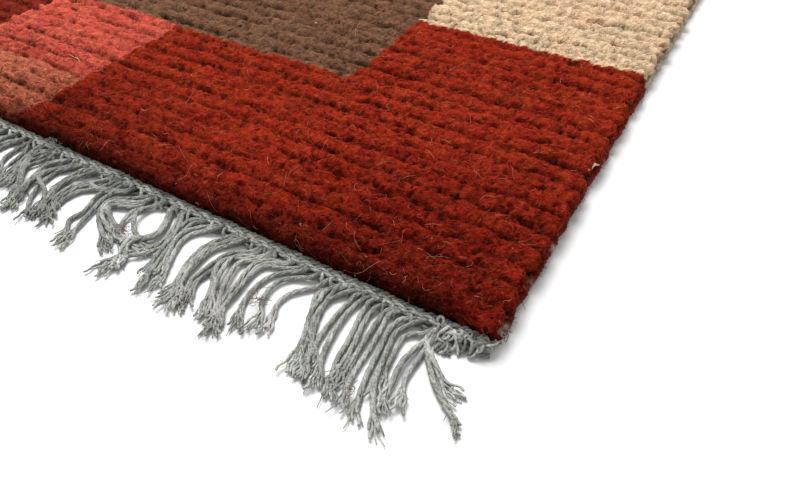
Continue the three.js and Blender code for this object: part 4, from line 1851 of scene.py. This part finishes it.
    def add_corner_ends(self, gathered: JoinedShapes) -> None:
        """Gathers the pale cut ends and the small loops that lie over the braid at the rug's corner."""
        rng = self.rng
        count, t = self.corner_ends, np.linspace(0, 1, 9)
        start = np.stack([rng.uniform(-21, -4, count), rng.uniform(-6.0, -1.5, count)], axis=-1)
        way = rng.normal(-0.15, 0.7, (count, 1)) + rng.normal(0, 2.4, (count, 1)) * t[None]
        path = walked(start, way, rng.uniform(3.5, 6.5, (count, 1)) / (len(t) - 1))
        x, y = path[..., 0], path[..., 1]
        bed = 0.6 + 3.3 * eased((y + 7.5) / 4.5)
        z = bed + rng.uniform(0.2, 1.1, (count, 1)) * np.sin(math.pi * t[None])
        inside = (y > 1.1 * x - 1.5).all(axis=1)
        ends = self.size.corner + np.stack([np.minimum(x, 0.5), np.minimum(y, 0.3), z], axis=-1)
        radii = rng.uniform(0.34, 0.66, (count, 1)) * (1 + 0.3 * soft_noise(ends, 0.9, 94))
        shades = self.shades(count) * rng.uniform(0.5, 1.9, (count, 1))
        # Painted shade: the cut ends darker where they lie lower, further out from the braid
        low = 0.62 + 0.38 * eased((y + 8.0) / 6.0)
        shades = shades[:, None] * low[..., None]
        Tubes(5).add_to(gathered, ends[inside], radii[inside], shades[inside])
        loops = self.size.corner + np.array([rounded_line(np.array(loop), 12) for loop in CORNER_LOOPS])
        Tubes(5).add_to(gathered, loops, self.loop_radius, np.array(self.loop_colour))

    def add_lint(self, gathered: JoinedShapes) -> None:
        """Gathers small wisps of dyed wool that are caught in the fringe."""
        rng, t = self.rng, np.linspace(0, 1, 7)
        for lint in CORNER_LINT:
            count, spread = lint.wisps, np.array([lint.spread, lint.spread, 0.4])
            start = np.array(lint.at) + rng.normal(0, 1, (count, 3)) * spread
            way = rng.uniform(0, 6.3, (count, 1)) + rng.normal(0, 3.0, (count, 1)) * t[None]
            path = walked(start[:, :2], way, rng.uniform(2.0, 4.5, (count, 1)) / (len(t) - 1))
            z = start[:, 2:] + 0.4 * np.sin(3 * t[None])
            wisps = self.size.corner + np.concatenate([path, z[..., None]], axis=-1)
            radii = rng.uniform(0.07, 0.15, (count, 1))
            colours = np.array(lint.colour) * rng.uniform(0.7, 1.3, (count, 1, 1))
            Tubes(3).add_to(gathered, wisps, radii, colours)

    def add_braid(self, gathered: JoinedShapes) -> None:
        """Gathers the braid: a twined edge cord, a looped row behind it and a low cord under the yarns."""
        size = self.size
        half = size.half_width - self.braid_inset
        edge = -size.half_length
        x = np.linspace(half, -half, size.stitches * (4 if self.far_end else 6))
        wander = on_floor(x, np.zeros_like(x))
        sway = 0.4 * soft_noise(wander, 17.0, 61) + 0.2 * soft_noise(wander, 5.0, 65)
        bob = 0.22 * soft_noise(wander, 6.0, 66)
        twist = math.pi * x / size.stitch_pitch + 0.9 * soft_noise(wander, 13.0, 64)
        cords = []
        for half_turn in (0, math.pi):
            turn = twist + half_turn
            cords.append((edge - 2.2 + 0.78 * np.cos(turn) + sway, 3.1 + 0.6 * np.sin(turn) + bob, 1.3))
            turn = half_turn - twist * 2
            cords.append((edge - 0.5 + 0.5 * np.cos(turn) + sway, 3.05 + 0.6 * np.sin(turn) - bob, 1.0))
        cords.append((edge - 4.4 + 0.5 * np.cos(twist * 2), 1.2 + 0.2 * np.sin(twist * 2), 0.7))
        routes = np.array([np.stack([x, y, z], axis=-1) for y, z, _ in cords])
        # Painted light and shade: each cord's last number scales its grey, 1.3 for the lit top cord, 1.0 for the row
        # behind it and 0.7 for the low cord under the yarns
        shades = self.shades(len(cords)) * np.array([[tone] for _, _, tone in cords])
        self.braid_cable.add_to(gathered, routes, shades, self.rng)

    def add_stitches(self, gathered: JoinedShapes, roots: np.ndarray) -> None:
        """Gathers the short stitches that bind each strand over the braid's front.

        Args:
            gathered: Where they go.
            roots: Each strand's place along the end.
        """
        rng = self.rng
        count = len(roots)
        t = np.linspace(0, 1, 7)[None]
        x = roots[:, None] + rng.normal(0.0, 0.8, (count, 1))
        x = x + rng.uniform(-0.4, 3.0, (count, 1)) * (t - 0.5)
        x = x + rng.normal(0.0, 0.45, (count, 1)) * np.sin(math.pi * t)
        out = 2.6 + rng.uniform(3.0, 4.2, (count, 1)) * t
        z = 0.9 + rng.uniform(2.2, 2.8, (count, 1)) * (1 - t ** 2)
        routes = np.stack([x, -self.size.half_length - out, z], axis=-1)
        radii = rng.uniform(0.55, 0.85, (count, 1)) * (1.0 - 0.45 * (2 * t - 1) ** 4)
        tone = rng.uniform(0.80, 1.25, (count, 1)) * (1 + 0.3 * soft_noise(routes, 0.9, 92))
        Tubes(6).add_to(gathered, routes, radii, self.shades(count)[:, None] * tone[..., None])

    def build(self) -> list[bpy.types.Object]:
        """Makes the braid and the fringe.

        Returns:
            The braid's object and the fringe's.
        """
        runs = self.runs()
        fringe = JoinedShapes()
        fine, plain = runs[: self.fine_strands], runs[self.fine_strands :]
        if len(fine):
            routes = self.lay_seen_yarns(self.routes(fine, 60))
            root_x = routes[:, 0, 0]
            # Painted shade: the yarns darker further along the end from the corner
            further = eased((self.size.half_width - self.shade_from - root_x) / self.shade_run)
            shades = self.shades(len(routes)) * (1 - self.left_shade * further)[:, None]
            self.fine_cable.add_to(fringe, evenly(routes, 38), shades, self.rng, self.opened)
            long = root_x < self.size.half_width - self.bare_corner
            self.add_tip_plies(fringe, routes[long], shades[long])
            self.add_fuzz(fringe, routes, shades)
            self.add_corner_ends(fringe)
            self.add_lint(fringe)
        if len(plain):
            routes = self.routes(plain, 13)
            self.plain_cable.add_to(fringe, routes, self.shades(len(routes)), self.rng, self.opened)
        braid = JoinedShapes()
        self.add_braid(braid)
        if len(fine):
            self.add_stitches(braid, runs[4:-1, 0])
        made = []
        for gathered, part in ((braid, "braid"), (fringe, "fringe")):
            if self.far_end:
                gathered.points = [p * np.array([-1.0, -1.0, 1.0]) for p in gathered.points]
            made.append(gathered.build(f"{part}_{self.name}"))
        return made


@dataclass
class SideOvercasting:
    """The wool overcast along one side edge, in the colours of the pile beside it."""

    name: str
    side: int
    size: RugSize
    plan: PilePlan
    pitch: float
    hairs: int
    haired_length: float = 230.0
    core_radius: float = 1.7
    yarn: float = 0.75
    middle_out: float = 2.0
    middle_height: float = 2.1
    end_gap: float = 2.6
    wrap: tuple[float, float] = (1.2, 1.15)
    tan: tuple[float, float, float] = (0.60, 0.48, 0.35)
    pale: tuple[float, float, float] = (0.54, 0.43, 0.34)
    pale_bits: tuple[tuple[float, float], ...] = ((4.3, 0.8), (6.8, 0.9), (28.5, 0.8), (47.4, 1.1))
    rng: np.random.Generator = field(default_factory=lambda: np.random.default_rng(23))

    @property
    def middle_x(self) -> float:
        """How far out the binding's middle line lies."""
        return self.size.half_width - self.size.selvedge_width + self.middle_out

    def wool(self, points: np.ndarray) -> np.ndarray:
        """The wool's colour at places on the overcasting, with pale bits in it and painted shade lower down.

        Args:
            points: Places with 3 numbers in the last axis.

        Returns:
            A linear colour for each place.
        """
        pile_x = np.full(points.shape[:-1], self.side * (self.size.half_width - 3.0))
        beside = self.plan.dyes_at(pile_x, points[..., 1])
        colours = np.where(beside[..., 1:2] > 0.3, np.array(self.tan), 0.95 * beside)
        tone = 0.90 + 0.34 * soft_noise(points, 2.6, 83) + 0.26 * soft_noise(points, 1.2, 84)
        pale = eased((soft_noise(points, (2.2, 1.5, 2.2), 85) - 0.60) / 0.3)
        for from_end, reach in self.pale_bits:
            off = (points[..., 1] + self.size.half_length - from_end) / reach
            pale = np.maximum(pale, (self.side > 0) * (points[..., 2] > 1.6) * np.exp(-off ** 4))
        # Painted shade: the wool darker lower down, towards the floor
        low = 0.55 + 0.45 * eased((points[..., 2] - 0.4) / 2.6)
        pale = 0.85 * pale[..., None]
        return colours * (tone * low)[..., None] * (1 - pale) + pale * np.array(self.pale)

    def sway(self, y: np.ndarray) -> np.ndarray:
        """How far the binding strays outward along the edge."""
        places = on_floor(np.zeros_like(y), y)
        return 0.55 * soft_noise(places, 7.0, 89) + 0.35 * soft_noise(places, 3.0, 90)

    def add_hairs(self, gathered: JoinedShapes) -> None:
        """Gathers stray hairs that stand off the binding, most of them near the rug's near end."""
        rng, count, t = self.rng, self.hairs, np.linspace(0, 1, 5)
        y = 1.5 - self.size.half_length + self.haired_length * rng.uniform(0, 1, (count, 1)) ** 1.6
        turn = rng.uniform(-0.3, 1.5, (count, 1)) + rng.normal(0, 0.7, (count, 1)) * t
        reach = rng.uniform(0.6, 2.6, (count, 1)) * t
        hairs = np.stack([
            self.side * (self.middle_x + self.sway(y) + 1.7 * np.cos(turn[:, :1]) + reach * np.cos(turn)),
            y + rng.normal(0, 1.6, (count, 1)) * t + rng.normal(0, 0.9, (count, 1)) * t * t,
            np.maximum(self.middle_height + 1.6 * np.sin(turn[:, :1]) + reach * np.sin(turn), 0.2),
        ], axis=-1)
        radii = 0.075 * (1 - 0.5 * t)[None] * rng.uniform(0.7, 1.4, (count, 1))
        Tubes(3).add_to(gathered, hairs, radii, 1.1 * self.wool(hairs) + 0.02)

    def build(self) -> bpy.types.Object:
        """Makes the overcasting: a soft core with yarn wrapped over it.

        Returns:
            Its object.
        """
        rng = self.rng
        gathered = JoinedShapes()
        run = self.size.half_length - self.end_gap
        y = np.arange(-run, run, 0.8 * self.pitch)
        core = on_floor(self.side * (self.middle_x + self.sway(y)), y)
        core[:, 2] = self.middle_height
        strays = [0.5 * soft_noise(core, 6.0, 86), np.zeros_like(y), 0.3 * soft_noise(core, 5.0, 87)]
        core = core + np.stack(strays, axis=-1)
        swell = 1 + 0.08 * soft_noise(core, 3.0, 81) + 0.06 * soft_noise(core, 1.4, 82)
        Tubes(9).add_to(gathered, core[None], self.core_radius * swell[None], self.wool(core[None]))
        y = np.arange(-run, run, self.pitch)
        y = y + rng.normal(0, 0.2 * self.pitch, len(y))
        t = np.linspace(0, 1, 7)
        turn = math.pi * (0.70 - 1.25 * t)
        slant = rng.normal(1.1 * self.pitch, 0.4, (len(y), 1)) * (t[None] - 0.5)
        out = self.middle_x + self.sway(y)[:, None] + self.wrap[0] * np.cos(turn)[None]
        out = out + rng.normal(0, 0.14, (len(y), 1))
        height = self.middle_height + self.wrap[1] * np.sin(turn)[None] + rng.normal(0, 0.12, (len(y), 1))
        routes = np.stack([self.side * out, y[:, None] + slant, height], axis=-1)
        routes[..., 2] = np.maximum(routes[..., 2], self.yarn)
        radii = self.yarn * (1 + 0.16 * soft_noise(routes, 1.5, 88))
        colours = self.wool(routes) * rng.normal(1, 0.10, (len(y), 1, 1))
        Tubes(5).add_to(gathered, routes, radii, colours, np.tile([0.0, 1.0, 0.0], (len(y), 1)))
        if self.hairs:
            self.add_hairs(gathered)
        return gathered.build(f"overcasting_{self.name}")


@dataclass(frozen=True)
class Studio:
    """The pale floor, the soft light and the camera.

    The camera's place is in millimetres, the floor's and the light's sizes and places in metres.
    """

    camera_at: tuple[float, float, float] = (332.1, -554.4, 156.0)
    pitch_down: float = 46.07
    yaw: float = -32.65
    roll: float = -2.18
    lens: float = 26.79
    floor_half: float = 3.0
    key_at: tuple[float, float, float] = (-0.22, 0.08, 0.88)
    key_aim: tuple[float, float, float] = (0.15, -0.35, 0.0)
    key_side: float = 0.7
    key_power: float = 17.8
    surround: float = 0.5

    def floor(self) -> bpy.types.Object:
        """Makes the floor, a wide plane at height 0."""
        shape = bmesh.new()
        bmesh.ops.create_grid(shape, x_segments=8, y_segments=8, size=self.floor_half)
        mesh = bpy.data.meshes.new("studio_floor")
        shape.to_mesh(mesh)
        shape.free()
        floor = placed("studio_floor", mesh)
        mesh.materials.append(FloorFinish().material())
        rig.stage(floor)
        return floor

    def lights(self) -> None:
        """Adds a square soft key light and an even white surround."""
        lamp = bpy.data.lights.new("key", "AREA")
        lamp.shape = "SQUARE"
        lamp.size = self.key_side
        lamp.energy = self.key_power
        lit = placed("key", lamp)
        lit.location = self.key_at
        facing = Vector(self.key_aim) - Vector(self.key_at)
        lit.rotation_euler = facing.to_track_quat("-Z", "Y").to_euler()
        world = bpy.data.worlds.new("studio_surround")
        world.use_nodes = True
        background = world.node_tree.nodes["Background"].inputs
        background["Color"].default_value = (1.0, 1.0, 1.0, 1.0)
        background["Strength"].default_value = self.surround
        bpy.context.scene.world = world
        bpy.context.scene.view_settings.view_transform = "Standard"

    def camera(self) -> None:
        """Adds the camera at the picture's own angle."""
        pitch, yaw, roll = (math.radians(a) for a in (self.pitch_down, self.yaw, self.roll))
        flat = math.cos(pitch)
        ahead = Vector((math.sin(yaw) * flat, math.cos(yaw) * flat, -math.sin(pitch)))
        level = Vector((math.cos(yaw), -math.sin(yaw), 0.0))
        above = level.cross(ahead)
        right = level * math.cos(roll) + above * math.sin(roll)
        up = above * math.cos(roll) - level * math.sin(roll)
        data = bpy.data.cameras.new("studio_camera")
        data.lens = self.lens
        data.sensor_width = 36.0
        data.clip_start = 0.01
        camera = placed("studio_camera", data)
        turned = Matrix((right, up, -ahead)).transposed().to_4x4()
        camera.matrix_world = Matrix.Translation(Vector(self.camera_at) * MM) @ turned
        bpy.context.scene.camera = camera


def dress(piece: bpy.types.Object, finish: bpy.types.Material, slot: str) -> bpy.types.Object:
    """Gives a piece its material and its place in the frame."""
    piece.data.materials.append(finish)
    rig.ride(piece, "root")
    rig.slot(piece, slot)
    return piece


def main() -> None:
    """Builds the rug and the studio."""
    cad_box = [list(corner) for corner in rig.bounds()]
    studio = Studio()
    floor = studio.floor()
    studio.lights()
    studio.camera()
    plan = PilePlan(RUG)
    pile_wool, edge_wool, warp_cotton = PILE_WOOL.material(), EDGE_WOOL.material(), WARP_COTTON.material()

    pile = PileField(RUG, plan)
    ground = dress(pile.ground(), pile_wool, "pile_wool")
    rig.replaces(ground, "pile_field")
    on_pile = []
    for stretch in SEEN_STRETCHES:
        on_pile.extend(dress(piece, pile_wool, "pile_wool") for piece in pile.stretch(stretch))

    for overcasting in (
        SideOvercasting("right", 1, RUG, plan, pitch=2.1, hairs=170),
        SideOvercasting("left", -1, RUG, plan, pitch=6.0, hairs=0),
    ):
        edge = dress(overcasting.build(), edge_wool, "edge_wool")
        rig.replaces(edge, f"selvedge_{overcasting.name}")

    plain_strands = RUG.stitches - sum(clump.strands for clump in CORNER_CLUMPS)
    near_clumps = [*CORNER_CLUMPS, *plain_clumps(plain_strands, 3)]
    for end in (
        EndFringe("near", RUG, near_clumps, fine_strands=44, far_end=False),
        EndFringe("far", RUG, plain_clumps(RUG.stitches, 41), fine_strands=0, far_end=True),
    ):
        braid, fringe = end.build()
        dress(braid, warp_cotton, "warp_cotton")
        dress(fringe, warp_cotton, "warp_cotton")
        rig.replaces(braid, f"fringe_{end.name}")

    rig.sheet(ground, flat=(0.6, 0.9), held="laid", rests_on=[floor.name], with_pieces=on_pile)
    with open("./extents.json", "w") as out:
        json.dump({"cad": cad_box, "visual": [list(corner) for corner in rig.bounds()]}, out)


if __name__ == "__main__":
    logging.basicConfig(level=logging.INFO, format="%(name)s: %(message)s")
    main()
